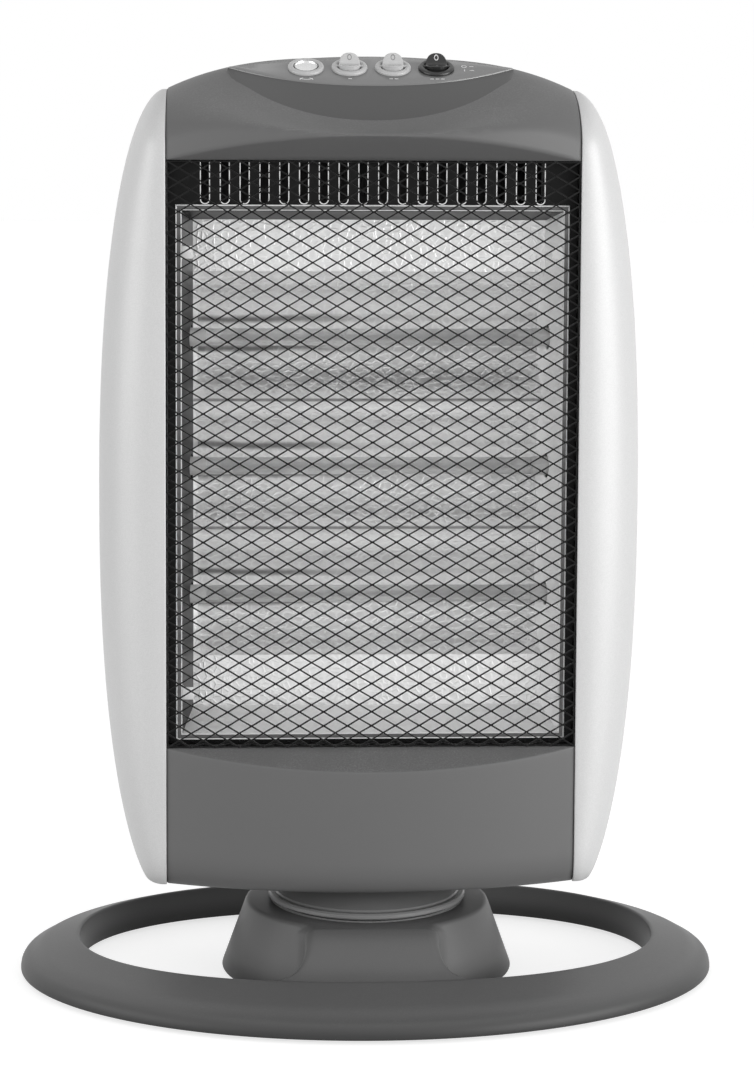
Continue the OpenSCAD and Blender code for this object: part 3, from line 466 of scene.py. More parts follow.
class Effects:
    """Effects that several finishes share, each built once, at its first use, as a group."""

    @staticmethod
    @cache
    def moulded_grain() -> NodeTree:
        """Fine eroded grain of a moulding tool: a height and a slight mottle of the shade."""
        t, i, o = new_group("moulded_grain", {"Position": "Vector", "Grains per Metre": 1400.0, "Mottle": 0.06},
            ["Height", "Shade"])
        cells = t.first("ShaderNodeTexVoronoi", {"Vector": i[0], "Scale": i[1]}, feature="SMOOTH_F1")
        fine = t.noise(i[0], t.times(i[1], 0.7), 4.0, 0.6)
        height = t.plus(t.times(cells, 0.6), t.times(fine, 0.5))
        wide = t.noise(i[0], 11.0, 2.0, 0.5)
        sum_up = t.plus(t.times(fine, 0.5), t.times(wide, 0.5))
        centred = t.minus(sum_up, 0.5)
        t.feed(o[0], height)
        t.feed(o[1], t.plus(1.0, t.times(centred, i[2])))
        return t.tree

    @staticmethod
    @cache
    def dust() -> NodeTree:
        """Thin dust on faces that look up: how much lies at a place; turned up, it also paints top light."""
        t, i, o = new_group("dust", {"Position": "Vector", "Amount": 0.1}, ["Mask"])
        up = t.node("ShaderNodeSeparateXYZ", {0: t.node("ShaderNodeNewGeometry").outputs["Normal"]}).outputs[2]
        specks = t.noise(i[0], 900.0, 5.0, 0.75)
        drift = t.noise(i[0], 28.0, 3.0, 0.6)
        patch = t.times(t.spread(specks, 0.45, 0.75, 0.0, 1.0), t.spread(drift, 0.3, 0.7, 0.2, 1.0))
        t.feed(o[0], t.times(t.times(patch, i[1]), t.spread(up, 0.6, 0.97, 0.0, 1.0)))
        return t.tree

    @staticmethod
    @cache
    def rubbed() -> NodeTree:
        """Hairlines from wiping: a mask of fine arcs that change the gloss."""
        t, i, o = new_group("rubbed", {"Position": "Vector", "Amount": 0.1}, ["Gloss Change"])
        bend = t.vector("SCALE", t.node("ShaderNodeTexNoise", {"Vector": i[0], "Scale": 9.0}).outputs[1])
        bend.node.inputs["Scale"].default_value = 0.05
        place = t.vector("MULTIPLY", t.vector("ADD", i[0], bend), (90.0, 2600.0, 1900.0))
        lines = t.noise(place, 1.0, 2.0, 0.5)
        wide = t.noise(i[0], 17.0, 2.0, 0.5)
        hair = t.times(t.spread(lines, 0.5, 0.8, 0.0, 1.0), wide)
        t.feed(o[0], t.times(t.minus(hair, 0.2), i[1]))
        return t.tree

    @staticmethod
    @cache
    def rolled() -> NodeTree:
        """Rolling lines of sheet metal: a shade and a height drawn out along one way."""
        t, i, o = new_group("rolled", {"Position": "Vector", "Stretch": (6.0, 900.0, 900.0), "Depth": 0.12},
            ["Shade", "Height"])
        drawn = t.vector("MULTIPLY", i[0], i[1])
        lines = t.noise(drawn, 1.0, 4.0, 0.6)
        t.feed(o[0], t.plus(1.0, t.times(t.minus(lines, 0.5), i[2])))
        t.feed(o[1], lines)
        return t.tree

    @staticmethod
    @cache
    def stucco() -> NodeTree:
        """Embossing of a reflector sheet: raised straight ridges round many-sided dimples."""
        t, i, o = new_group("stucco", {"Position": "Vector", "Cells per Metre": 210.0}, ["Height", "Ridge"])
        jitter = t.node("ShaderNodeTexNoise", {"Vector": i[0], "Scale": 160.0, "Detail": 2.0}).outputs[1]
        shake = t.vector("SCALE", t.vector("SUBTRACT", jitter, (0.5, 0.5, 0.5)))
        shake.node.inputs["Scale"].default_value = 0.0016
        place = t.vector("ADD", i[0], shake)
        edge = t.first("ShaderNodeTexVoronoi", {"Vector": place, "Scale": i[1], "Randomness": 0.9},
            feature="DISTANCE_TO_EDGE")
        ridge = t.spread(edge, 0.0, 0.16, 1.0, 0.0, soft=True)
        dent = t.spread(edge, 0.0, 0.5, 0.25, 0.0)
        pitted = t.noise(i[0], 1500.0, 2.0, 0.5)
        height = t.plus(t.plus(ridge, dent), t.times(pitted, 0.06))
        t.feed(o[0], height)
        t.feed(o[1], ridge)
        return t.tree

    @staticmethod
    @cache
    def heat_stain() -> NodeTree:
        """Painted reflection bands across each trough, painted dark reflections of the tubes beside each lamp, painted
        shade in each crease, and a mask of the two ends of the sheet.
        """
        t, i, o = new_group("heat_stain", {"Position": "Vector", "Middle": 0.3337, "Pitch": 0.0835},
            ["Shade", "Ends"])
        way = t.node("ShaderNodeSeparateXYZ", {0: i[0]}).outputs
        wave = t.noise(t.vector("MULTIPLY", i[0], (14.0, 60.0, 60.0)), 1.0, 3.0, 0.6)
        high = t.plus(t.minus(way[2], i[1]), t.spread(wave, 0.2, 0.8, -0.002, 0.002))
        off = t.math("PINGPONG", high, t.times(i[2], 0.5))
        inside = t.spread(t.math("ABSOLUTE", high), 0.112, 0.128, 1.0, 0.0, True)
        # Painted reflection: bright and dull bands across each trough, where reflections fall.
        band = t.times(t.spread(off, 0.010, 0.023, 0.84, 1.03, True), t.spread(off, 0.033, 0.0412, 1.0, 0.88, True))
        # Painted reflection: a dark streak about 10 mm from each lamp, stronger to the left, where the tubes show in
        # the sheet.
        streak = t.spread(t.math("ABSOLUTE", t.minus(off, 0.0098)), 0.0004, 0.0036, 1.0, 0.0, True)
        left = t.spread(t.plus(way[0], t.times(wave, 0.08)), -0.03, 0.07, 0.72, 0.16, True)
        band = t.times(band, t.minus(1.0, t.times(streak, left)))
        near = t.math("PINGPONG", t.minus(way[2], i[1]), t.times(i[2], 0.5))
        # Painted shade: a dark line along each crease between the troughs.
        crease = t.spread(near, 0.0403, 0.0413, 1.0, 0.4, True)
        band = t.times(band, crease)
        # Painted reflection: the flats outside the troughs are dulled.
        shade = t.plus(t.times(band, inside), t.times(t.minus(1.0, inside), 0.86))
        t.feed(o[0], shade)
        # Mask of the two ends, where the ridges get a painted highlight.
        t.feed(o[1], t.spread(t.math("ABSOLUTE", way[0]), 0.075, 0.115, 0.12, 1.0, True))
        return t.tree


# ---- finishes


@dataclass(frozen=True)
class Finish:
    """A finish: its name, colour and gloss, and what its surface looks like close up."""

    name: str
    colour: Rgb
    roughness: float = 0.5
    metallic: float = 0.0
    specular: float = 0.5

    @cache
    def material(self) -> bpy.types.Material:
        """The finish as a material, built at its first use."""
        item = bpy.data.materials.new(self.name)
        tree = emptied(item)
        shader = tree.node("ShaderNodeBsdfPrincipled", {"Base Color": self.colour, "Roughness": self.roughness,
            "Metallic": self.metallic, "Specular IOR Level": self.specular})
        tree.node("ShaderNodeOutputMaterial", {0: shader.outputs[0]})
        self.dress(tree, shader.inputs, tree.node("ShaderNodeTexCoord").outputs["Object"])
        item.diffuse_color = (*self.colour, 1.0)
        return item

    def dress(self, t: Tree, skin: Sockets, place: Socket) -> None:
        """Lays out the detail of the surface; each kind of finish has its own."""
        raise NotImplementedError

    @staticmethod
    def effect(t: Tree, group: Callable[[], NodeTree], *feeds: Feed) -> Sockets:
        """Places one of the shared effects in a tree, and gives what comes out of it."""
        made = t.node("ShaderNodeGroup")
        made.node_tree = group()
        for socket, value in zip(made.inputs, feeds):
            t.feed(socket, value)
        return made.outputs

    @staticmethod
    def bump(t: Tree, skin: Sockets, height: Feed, depth: float, strength: float = 1.0) -> None:
        """Raises the surface by a height, as deep as given in millimetres."""
        made = t.node("ShaderNodeBump", {"Height": height, "Distance": depth * MM, "Strength": strength})
        t.feed(skin["Normal"], made.outputs[0])


@dataclass(frozen=True)
class Moulded(Finish):
    """Moulded plastic with an eroded grain, a little mottle, thin dust on what looks up that also serves as painted top
    light, and painted shade towards the floor where asked.
    """

    grains: float = 1400.0
    depth: float = 0.02
    mottle: float = 0.08
    dust_and_top_light: float = 0.06
    rub: float = 0.15
    painted_low_shade: float = 0.0

    def dress(self, t: Tree, skin: Sockets, place: Socket) -> None:
        """Grain, mottle, dust that also paints top light, painted shade towards the floor and wiping marks."""
        grain = self.effect(t, Effects.moulded_grain, place, self.grains, self.mottle)
        shaded = t.blend(1.0, self.colour, grain["Shade"], "MULTIPLY")
        # Painted shade: the colour darkens towards near black below 17 mm, next to the floor.
        if self.painted_low_shade:
            low = t.spread(t.node("ShaderNodeSeparateXYZ", {0: place}).outputs[2], 0.003, 0.017, self.painted_low_shade, 0.0, True)
            shaded = t.blend(low, shaded, tone(22))
        dust = self.effect(t, Effects.dust, place, self.dust_and_top_light)[0]
        t.feed(skin["Base Color"], t.blend(dust, shaded, tone(205)))
        rub = self.effect(t, Effects.rubbed, place, self.rub)[0]
        t.feed(skin["Roughness"], t.plus(self.roughness, t.plus(rub, dust), clamp=True))
        self.bump(t, skin, grain["Height"], self.depth)


@dataclass(frozen=True)
class Lacquer(Finish):
    """Silver lacquer on a moulded shell, with fine bright flakes."""

    flakes: float = 2600.0
    depth: float = 0.008

    def dress(self, t: Tree, skin: Sockets, place: Socket) -> None:
        """Flakes, slow cloudiness of the spray and orange peel."""
        flake = t.node("ShaderNodeTexVoronoi", {"Vector": place, "Scale": self.flakes}).outputs["Color"]
        level = t.first("ShaderNodeSeparateColor", {0: flake})
        cloud = t.noise(place, 7.0, 2.0, 0.5)
        shade = t.plus(t.spread(level, 0.0, 1.0, 0.95, 1.05), t.spread(cloud, 0.3, 0.7, -0.012, 0.012))
        dust = self.effect(t, Effects.dust, place, 0.04)[0]
        shaded = t.blend(1.0, self.colour, shade, "MULTIPLY")
        t.feed(skin["Base Color"], t.blend(dust, shaded, tone(190)))
        rub = self.effect(t, Effects.rubbed, place, 0.12)[0]
        t.feed(skin["Roughness"], t.plus(self.roughness, rub, clamp=True))
        peel = t.plus(t.noise(place, 420.0, 2.0, 0.5), t.times(level, 0.25))
        self.bump(t, skin, peel, self.depth)


@dataclass(frozen=True)
class Painted(Finish):
    """Baked paint on sheet or wire: slightly pebbled, with thin spots where it rubs."""

    pebbles: float = 1100.0
    depth: float = 0.03
    worn: float = 0.0

    def dress(self, t: Tree, skin: Sockets, place: Socket) -> None:
        """Pebbling, dust and thin spots that show grey metal."""
        pebble = t.noise(place, self.pebbles, 3.0, 0.6)
        thin = t.spread(t.noise(place, 260.0, 4.0, 0.7), 0.62, 0.72, 0.0, self.worn)
        dust = self.effect(t, Effects.dust, place, 0.1)[0]
        base = t.blend(thin, self.colour, tone(150))
        t.feed(skin["Base Color"], t.blend(dust, base, tone(170)))
        t.feed(skin["Metallic"], t.plus(thin, self.metallic, clamp=True))
        t.feed(skin["Roughness"], t.spread(pebble, 0.25, 0.75, self.roughness - 0.06, self.roughness + 0.08))
        self.bump(t, skin, pebble, self.depth)


@dataclass(frozen=True)
class EmbossedSheet(Finish):
    """Bright embossed sheet of the reflector, with painted reflection bands and painted shade."""

    cells: float = 210.0
    depth: float = 0.12
    plain: bool = False
    painted_dark_front: bool = False

    def dress(self, t: Tree, skin: Sockets, place: Socket) -> None:
        """Stucco ridges, rolling lines, a faint dull bloom and, on the embossed sheet, painted reflection bands,
        painted shade in its dimples and creases and a painted highlight on its ridges towards the ends.
        """
        roll = self.effect(t, Effects.rolled, place, (5.0, 700.0, 700.0), 0.1)
        bloom = t.noise(place, 16.0, 3.0, 0.55)
        shade = t.times(roll["Shade"], t.spread(bloom, 0.3, 0.7, 0.97, 1.03))
        bright = self.colour
        if self.plain:
            self.bump(t, skin, roll["Height"], 0.02)
        if self.painted_dark_front:
            # Painted shade: the front part of the wall, ahead of y = 0, is painted near black and not metallic.
            deep = t.spread(t.node("ShaderNodeSeparateXYZ", {0: place}).outputs[1], -0.0012, 0.0002, 0.0, 1.0)
            bright = t.blend(deep, tone(20), self.colour)
            t.feed(skin["Metallic"], deep)
        elif not self.plain:
            # Painted reflection bands and painted crease shade.
            painted_bands = self.effect(t, Effects.heat_stain, place)
            emboss = self.effect(t, Effects.stucco, place, self.cells)
            # Painted highlight: the ridges are whitened towards the two ends of the sheet.
            ridge = t.times(emboss["Ridge"], painted_bands["Ends"])
            bright = t.blend(t.times(ridge, 0.75), bright, tone(255))
            shade = t.times(shade, painted_bands["Shade"])
            # Painted shade: the dimples between the ridges are darker.
            shade = t.times(shade, t.spread(emboss["Height"], 0.0, 0.5, 0.95, 1.03))
            self.bump(t, skin, emboss["Height"], self.depth)
        t.feed(skin["Base Color"], t.blend(1.0, bright, shade, "MULTIPLY"))
        t.feed(skin["Roughness"], t.spread(bloom, 0.3, 0.7, self.roughness - 0.03, self.roughness + 0.05))


@dataclass(frozen=True)
class Metal(Finish):
    """Bare or plated metal with drawing lines along one way."""

    stretch: Point = (6.0, 900.0, 900.0)
    depth: float = 0.01
    stained: float = 0.08

    def dress(self, t: Tree, skin: Sockets, place: Socket) -> None:
        """Drawing lines, blotches and a change of gloss."""
        roll = self.effect(t, Effects.rolled, place, self.stretch, 0.16)
        blotch = t.noise(place, 60.0, 4.0, 0.6)
        shade = t.times(roll["Shade"], t.spread(blotch, 0.35, 0.7, 1.0 + self.stained, 1.0 - self.stained))
        t.feed(skin["Base Color"], t.blend(1.0, self.colour, shade, "MULTIPLY"))
        t.feed(skin["Roughness"], t.spread(blotch, 0.3, 0.7, self.roughness - 0.04, self.roughness + 0.08))
        self.bump(t, skin, roll["Height"], self.depth)


@dataclass(frozen=True)
class Quartz(Finish):
    """Drawn quartz glass, with faint lines along the tube."""

    def dress(self, t: Tree, skin: Sockets, place: Socket) -> None:
        """Plain glass whose wall waves a little along the tube."""
        skin["Transmission Weight"].default_value = 1.0
        skin["IOR"].default_value = 1.46
        drawn = t.vector("MULTIPLY", place, (12.0, 500.0, 500.0))
        lines = t.noise(drawn, 1.0, 2.0, 0.5)
        haze = t.noise(place, 40.0, 3.0, 0.6)
        t.feed(skin["Base Color"], t.blend(t.spread(haze, 0.4, 0.7, 0.0, 0.5), self.colour, tone(205)))
        t.feed(skin["Roughness"], t.spread(haze, 0.35, 0.7, self.roughness, self.roughness + 0.1))
        self.bump(t, skin, lines, 0.02, 0.6)


@dataclass(frozen=True)
class Fired(Finish):
    """Fired clay or glaze: chalky, finely pitted, a little scorched."""

    def dress(self, t: Tree, skin: Sockets, place: Socket) -> None:
        """Pits, speckle and a warm scorch."""
        pits = t.first("ShaderNodeTexVoronoi", {"Vector": place, "Scale": 900.0})
        speck = t.noise(place, 1200.0, 4.0, 0.7)
        scorch = t.noise(place, 45.0, 3.0, 0.6)
        shade = t.spread(speck, 0.3, 0.8, 1.04, 0.93)
        base = t.blend(1.0, self.colour, shade, "MULTIPLY")
        t.feed(skin["Base Color"], t.blend(t.spread(scorch, 0.5, 0.8, 0.0, 0.3), base, tone(150, 6)))
        t.feed(skin["Roughness"], t.spread(speck, 0.3, 0.7, self.roughness - 0.05, self.roughness + 0.1))
        self.bump(t, skin, pits, 0.05)


class Tone(Enum):
    """The finishes of the heater, by the part of it that wears them."""

    # Its dust is heavy enough to also paint top light on the upward shelves.
    HOUSING = Moulded("moulded_grey", tone(101), 0.5, specular=0.3, dust_and_top_light=0.3)
    # Painted shade on the stand's lower side, next to the floor.
    STAND = Moulded("moulded_grey_stand", tone(93), 0.48, specular=0.3, painted_low_shade=0.75)
    DISC = Moulded("moulded_grey_disc", tone(118), 0.36, specular=0.7, depth=0.012)
    # Painted sheen in part: the pod's top is lighter than the housing to stand in for its gloss.
    POD = Moulded("moulded_pod", tone(116), 0.24, specular=0.7, depth=0.01, dust_and_top_light=0.04)
    # Painted shade: the pod's front wall is a darker copy of the same grey.
    POD_WALL = Moulded("moulded_pod_wall", tone(80), 0.4, specular=0.35, depth=0.015, dust_and_top_light=0.0)
    REAR = Moulded("moulded_rear", tone(62), 0.5)
    BLACK = Moulded("black_plastic", tone(36), 0.32, depth=0.008, dust_and_top_light=0.05)
    WHITE = Moulded("white_plastic", tone(194), 0.3, depth=0.006, dust_and_top_light=0.0, mottle=0.03)
    RIM = Moulded("switch_rim", tone(186), 0.3, depth=0.006, dust_and_top_light=0.0, mottle=0.03)
    PRINT = Moulded("white_print", tone(228), 0.55, depth=0.004, dust_and_top_light=0.0, mottle=0.05)
    PRINT_DARK = Moulded("dark_print", tone(120), 0.55, depth=0.004, dust_and_top_light=0.0, mottle=0.05)
    TINTED = Moulded("amber_plastic", tone(150, 30), 0.35, depth=0.008)
    BUFF = Moulded("buff_plastic", tone(190, 8), 0.45, depth=0.01)
    RUBBER = Moulded("foot_rubber", tone(40), 0.8, specular=0.3, grains=900.0, depth=0.05, dust_and_top_light=0.15)
    LOOM = Moulded("lead_sleeve", tone(58), 0.5, grains=1800.0, depth=0.03)
    SILVER = Lacquer("silver_lacquer", tone(202), 0.5, metallic=0.12)
    NET = Painted("net_enamel", tone(10), 0.35, worn=0.04, specular=0.22)
    FRAME = Painted("frame_enamel", tone(10), 0.45, worn=0.04, specular=0.2)
    # Painted highlight: the drawn-in lips of the black frame's slots wear bright bare metal so they read as bright
    # outlines.
    LIP = Painted("slot_burr", tone(225), 0.2, metallic=1.0, pebbles=500.0)
    MIRROR = EmbossedSheet("embossed_bright_sheet", tone(254), 0.32, metallic=1.0)
    # Tray walls that look dark: the front part is painted near black as shade.
    SHADED = EmbossedSheet("shaded_sheet", tone(240), 0.4, specular=0.15, plain=True, painted_dark_front=True)
    # Painted reflection: a dark copy of the bright sheet for the flat of the rim, whose rounded edges stay bright.
    FLANGE = EmbossedSheet("flange_sheet", tone(104), 0.3, metallic=1.0, plain=True)
    MIRROR_END = EmbossedSheet("bright_sheet", tone(254), 0.4, metallic=0.1, plain=True)
    SHEET = Metal("galvanised_sheet", tone(176), 0.42, metallic=1.0, stretch=(300.0, 300.0, 300.0), stained=0.14)
    STEEL = Metal("turned_steel", tone(170), 0.3, metallic=1.0, stretch=(900.0, 900.0, 20.0))
    ZINC = Metal("zinc_screws", tone(150), 0.34, metallic=1.0, stained=0.16)
    PLATED = Metal("plated_cap", tone(216), 0.26, metallic=1.0, stretch=(1200.0, 10.0, 10.0), depth=0.004,
        stained=0.03)
    TUNGSTEN = Metal("heating_wire", tone(160), 0.5, metallic=0.8, stained=0.1)
    QUARTZ = Quartz("quartz_glass", tone(250), 0.4)
    CERAMIC = Fired("lamp_ceramic", tone(214), 0.6)

    def material(self) -> bpy.types.Material:
        """The material of this finish."""
        return self.value.material()


def dress(item: Item, wears: Tone) -> None:
    """Puts one finish on a whole object."""
    item.data.materials.clear()
    item.data.materials.append(wears.material())
    for face in item.data.polygons:
        face.material_index = 0


# ---- geometry node trees


class Repeater:
    """A geometry node tree that makes a repeated part, and the run that turns it into a mesh."""

    def __init__(self, name: str, ins: dict[str, Feed]) -> None:
        """Starts the tree.

        Args:
            name: Name of the tree.
            ins: For each named input its first value, or in words its kind of value.
        """
        self.t, self.inputs, self.end = new_group(
            name, {**ins, "Finish": "Material"}, ["Geometry"], "Geometry", "GeometryNodeTree")
        self.t.tree.is_modifier = True

    def transform(self, shape: Feed, move: Feed = (0, 0, 0), turn: Feed = (0, 0, 0)) -> Socket:
        """Moves and turns a shape."""
        return self.t.first("GeometryNodeTransform", {"Geometry": shape, "Translation": move, "Rotation": turn})

    def join(self, *shapes: Socket) -> Socket:
        """Joins several shapes into one."""
        made = self.t.node("GeometryNodeJoinGeometry")
        for shape in reversed(shapes):
            self.t.tree.links.new(shape, made.inputs[0])
        return made.outputs[0]

    def triple(self, x: Feed = 0.0, y: Feed = 0.0, z: Feed = 0.0) -> Socket:
        """A vector of three values."""
        return self.t.first("ShaderNodeCombineXYZ", {0: x, 1: y, 2: z})

    def instance(self, points: Feed, shape: Feed, **more: Feed) -> Socket:
        """Sets a shape on every point."""
        return self.t.first("GeometryNodeInstanceOnPoints", {"Points": points, "Instance": shape, **more})

    def finish(self, shape: Feed, flat: bool = False) -> "Repeater":
        """Ends the tree: real geometry, its shading and its material."""
        real = self.t.first("GeometryNodeRealizeInstances", {0: shape})
        shaded = self.t.first("GeometryNodeSetShadeSmooth", {"Geometry": real, "Shade Smooth": not flat})
        made = self.t.node("GeometryNodeSetMaterial", {"Geometry": shaded, "Material": self.inputs["Finish"]})
        self.t.feed(self.end[0], made.outputs[0])
        return self

    def run(self, name: str, wears: Tone, carrier: Optional[Item] = None, **sizes: Feed) -> Item:
        """Runs the tree and keeps what it makes as a plain mesh.

        Args:
            name: Name of the piece.
            wears: Its finish.
            carrier: A mesh that the tree works on, if it needs one.
            sizes: Values of the named inputs, with _ for a space.

        Returns:
            The piece.
        """
        item = carrier or new_item(name, bpy.data.meshes.new(name))
        item.name = name
        step = item.modifiers.new("repeat", "NODES")
        step.node_group = self.t.tree
        values = {key.replace("_", " "): value for key, value in sizes.items()}
        values["Finish"] = wears.material()
        for socket in self.t.tree.interface.items_tree:
            if socket.in_out == "INPUT" and socket.name in values:
                step[socket.identifier] = values[socket.name]
        item.update_tag()
        settle(item)
        return item


@cache
def net_tree() -> Repeater:
    """Slit and stretched net: crossed strands with a bond where they meet, laid out on a grid."""
    r = Repeater("stretched_net", {"Columns": 17, "Rows": 41, "Cell Width": 0.01515, "Cell Height": 0.0091,
        "Strand": 0.0008, "Thickness": 0.0009, "Bond": 0.0024})
    t, given = r.t, r.inputs
    wide, high = given["Cell Width"], given["Cell Height"]
    half_x, half_z = t.times(wide, 0.5), t.times(high, 0.5)
    reach = t.math("SQRT", t.plus(t.times(half_x, half_x), t.times(half_z, half_z)))
    rise = t.math("ARCTAN2", half_z, half_x)
    bar = t.first("GeometryNodeMeshCube", {0: r.triple(reach, given["Thickness"], given["Strand"]), "Vertices X": 3})
    strands = []
    for way_x in (-1, 1):
        for way_z in (-1, 1):
            place = r.triple(t.times(half_x, 0.5 * way_x), 0.0, t.times(half_z, 0.5 * way_z))
            turn = r.triple(0.0, t.times(rise, -way_x * way_z), t.times(rise, 0.16 * way_z))
            strands.append(r.transform(bar, place, turn))
    knot = t.first("GeometryNodeMeshCube", {0: r.triple(given["Bond"], t.times(given["Thickness"], 1.25),
        t.times(given["Strand"], 1.45))})
    cross = r.join(*strands, knot)
    across = t.times(wide, given["Columns"])
    up = t.times(high, given["Rows"])
    grid = t.first("GeometryNodeMeshGrid", {0: t.minus(across, wide), 1: t.minus(up, high), 2: given["Columns"],
        3: given["Rows"]})
    standing = r.transform(grid, (0, 0, 0), (pi / 2, 0, 0))
    points = t.first("GeometryNodeMeshToPoints", {0: standing})
    return r.finish(r.instance(points, cross), flat=True)


@cache
def slot_tree() -> Repeater:
    """Row of drawn-in lips round long slots, in rows that step along a second way."""
    r = Repeater("slot_lips", {"Count": 18, "Pitch": 0.0124, "Rows": 1, "Row Pitch": 0.01, "Width": 0.0057,
        "Length": 0.0318, "Lip": 0.0004, "Draw": 0.002})
    t, given = r.t, r.inputs
    outline = t.node("GeometryNodeCurvePrimitiveQuadrilateral", {0: given["Width"], 1: given["Length"]})
    round_off = t.first("GeometryNodeFilletCurve", {"Curve": outline.outputs[0], "Count": 7, "Limit Radius": True,
        "Radius": t.times(given["Width"], 0.4999)}, mode="POLY")
    section = t.first("GeometryNodeCurvePrimitiveQuadrilateral", {0: given["Lip"], 1: given["Draw"]})
    lip = t.first("GeometryNodeCurveToMesh", {"Curve": round_off, "Profile Curve": section})
    stood = r.transform(lip, (0, 0, 0), (pi / 2, 0, 0))
    wide = t.times(given["Pitch"], t.minus(given["Count"], 1.0))
    high = t.times(given["Row Pitch"], t.minus(given["Rows"], 1.0))
    grid = t.first("GeometryNodeMeshGrid", {0: wide, 1: high, 2: given["Count"], 3: given["Rows"]})
    points = t.first("GeometryNodeMeshToPoints", {0: r.transform(grid, (0, 0, 0), (pi / 2, 0, 0))})
    return r.finish(r.instance(points, stood))


@cache
def coil_tree() -> Repeater:
    """Wound heating wire: a close helix along X with straight tails."""
    r = Repeater("wound_coil", {"Length": 0.2, "Turns": 110.0, "Coil Radius": 0.0016, "Wire Radius": 0.0003,
        "Tail": 0.01})
    t, given = r.t, r.inputs
    helix = t.first("GeometryNodeCurveSpiral", {"Resolution": 9, "Rotations": given["Turns"],
        "Start Radius": given["Coil Radius"], "End Radius": given["Coil Radius"], "Height": given["Length"]})
    half = t.times(given["Length"], -0.5)
    laid = r.transform(r.transform(helix, r.triple(0.0, 0.0, half)), (0, 0, 0), (0, pi / 2, 0))
    section = t.first("GeometryNodeCurvePrimitiveCircle", {"Resolution": 5, "Radius": given["Wire Radius"]},
        mode="RADIUS")
    tails = []
    for way in (-1, 1):
        near = r.triple(t.times(given["Length"], 0.5 * way))
        far = r.triple(t.times(t.plus(t.times(given["Length"], 0.5), given["Tail"]), way))
        tails.append(t.first("GeometryNodeCurvePrimitiveLine", {"Start": near, "End": far}))
    wire = t.first("GeometryNodeCurveToMesh", {"Curve": r.join(laid, *tails), "Profile Curve": section,
        "Fill Caps": True})
    return r.finish(wire)


@cache
def scatter_tree() -> Repeater:
    """The same part at each point of a carrier mesh, turned to that point's own heading."""
    r = Repeater("same_part_at_points", {"Part": "Object", "Turn Step": 0.0})
    t, given = r.t, r.inputs
    source = t.node("NodeGroupInput")
    carrier = t.tree.interface.new_socket(name="Places", in_out="INPUT", socket_type="NodeSocketGeometry")
    t.tree.interface.move(carrier, 0)
    part = t.node("GeometryNodeObjectInfo", {"Object": given["Part"]}).outputs["Geometry"]
    points = t.first("GeometryNodeMeshToPoints", {0: source.outputs["Places"]})
    index = t.first("GeometryNodeInputIndex")
    heading = r.triple(0.0, 0.0, t.times(index, given["Turn Step"]))
    return r.finish(r.instance(points, part, Rotation=heading))


def place_piece(item: Item, body: str, slot: str, node: str, angle: float = 38) -> None:
    """Shades a finished piece and hands it to its body.

    Args:
        item: The piece.
        body: The body it moves with.
        slot: Not used.
        node: The CAD node that it replaces.
        angle: The angle above which its edges stay crisp.
    """
    item.data.shade_smooth()
    item.data.set_sharp_from_angle(angle=radians(angle))
    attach(item, body)
    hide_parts(node)
    LOG.info("%s: %d faces on %s", item.name, len(item.data.polygons), body)


# ---- sections


def walk(line: Sequence[Flat], count: int, start: float = 0.0, end: float = 0.0) -> list[Flat]:
    """Evenly spaced points along a line, with its two ends held back.

    Args:
        line: The points of the line.
        count: Number of steps.
        start: How far from its first point the walk starts.
        end: How far from its last point it ends.

    Returns:
        count + 1 points.
    """
    sums = [0.0]
    for a, b in zip(line, line[1:]):
        sums.append(sums[-1] + dist(a, b))
    total = sums[-1]
    start, end = min(start, total * 0.45), min(end, total * 0.45)
    out, k = [], 0
    for i in range(count + 1):
        d = start + (total - start - end) * i / count
        while k < len(line) - 2 and sums[k + 1] < d:
            k += 1
        span = sums[k + 1] - sums[k] or 1.0
        t = min(1.0, max(0.0, (d - sums[k]) / span))
        out.append((line[k][0] + (line[k + 1][0] - line[k][0]) * t, line[k][1] + (line[k + 1][1] - line[k][1]) * t))
    return out


def soft_section(runs: Sequence[Sequence[Flat]], radii: Sequence[float], counts: Sequence[int],
        steps: int = 4) -> list[Flat]:
    """A closed section made of runs that meet in rounded corners, always with the same number of points.

    Args:
        runs: The runs, each starting where the one before ends.
        radii: How far each run's first corner is rounded.
        counts: Number of steps along each run.
        steps: Number of steps in each rounding.

    Returns:
        The points of the section.
    """
    out: list[Flat] = []
    n = len(runs)
    for i, run in enumerate(runs):
        tail = radii[(i + 1) % n]
        walked = walk(run, counts[i], radii[i], tail)
        if i > 0 and radii[i] <= 0:
            walked = walked[1:]
        out.extend(walked)
        if tail > 0:
            after = walk(runs[(i + 1) % n], 1, tail)[0]
            out += bent(Vector(walked[-1]), Vector(run[-1]), Vector(after), steps)[1:-1]
    if radii[0] <= 0:
        out.pop()
    return out


def flowing(points: Sequence[Flat], per_span: int = 6) -> list[Flat]:
    """A smooth line through a few points."""
    out = []
    n = len(points)
    for i in range(n - 1):
        p0, p1 = Vector(points[max(0, i - 1)]), Vector(points[i])
        p2, p3 = Vector(points[i + 1]), Vector(points[min(n - 1, i + 2)])
        for j in range(per_span):
            t = j / per_span
            v = 0.5 * (2 * p1 + (p2 - p0) * t + (2 * p0 - 5 * p1 + 4 * p2 - p3) * t * t
                + (3 * p1 - p0 - 3 * p2 + p3) * t ** 3)
            out.append((v.x, v.y))
    out.append(tuple(points[-1]))
    return out


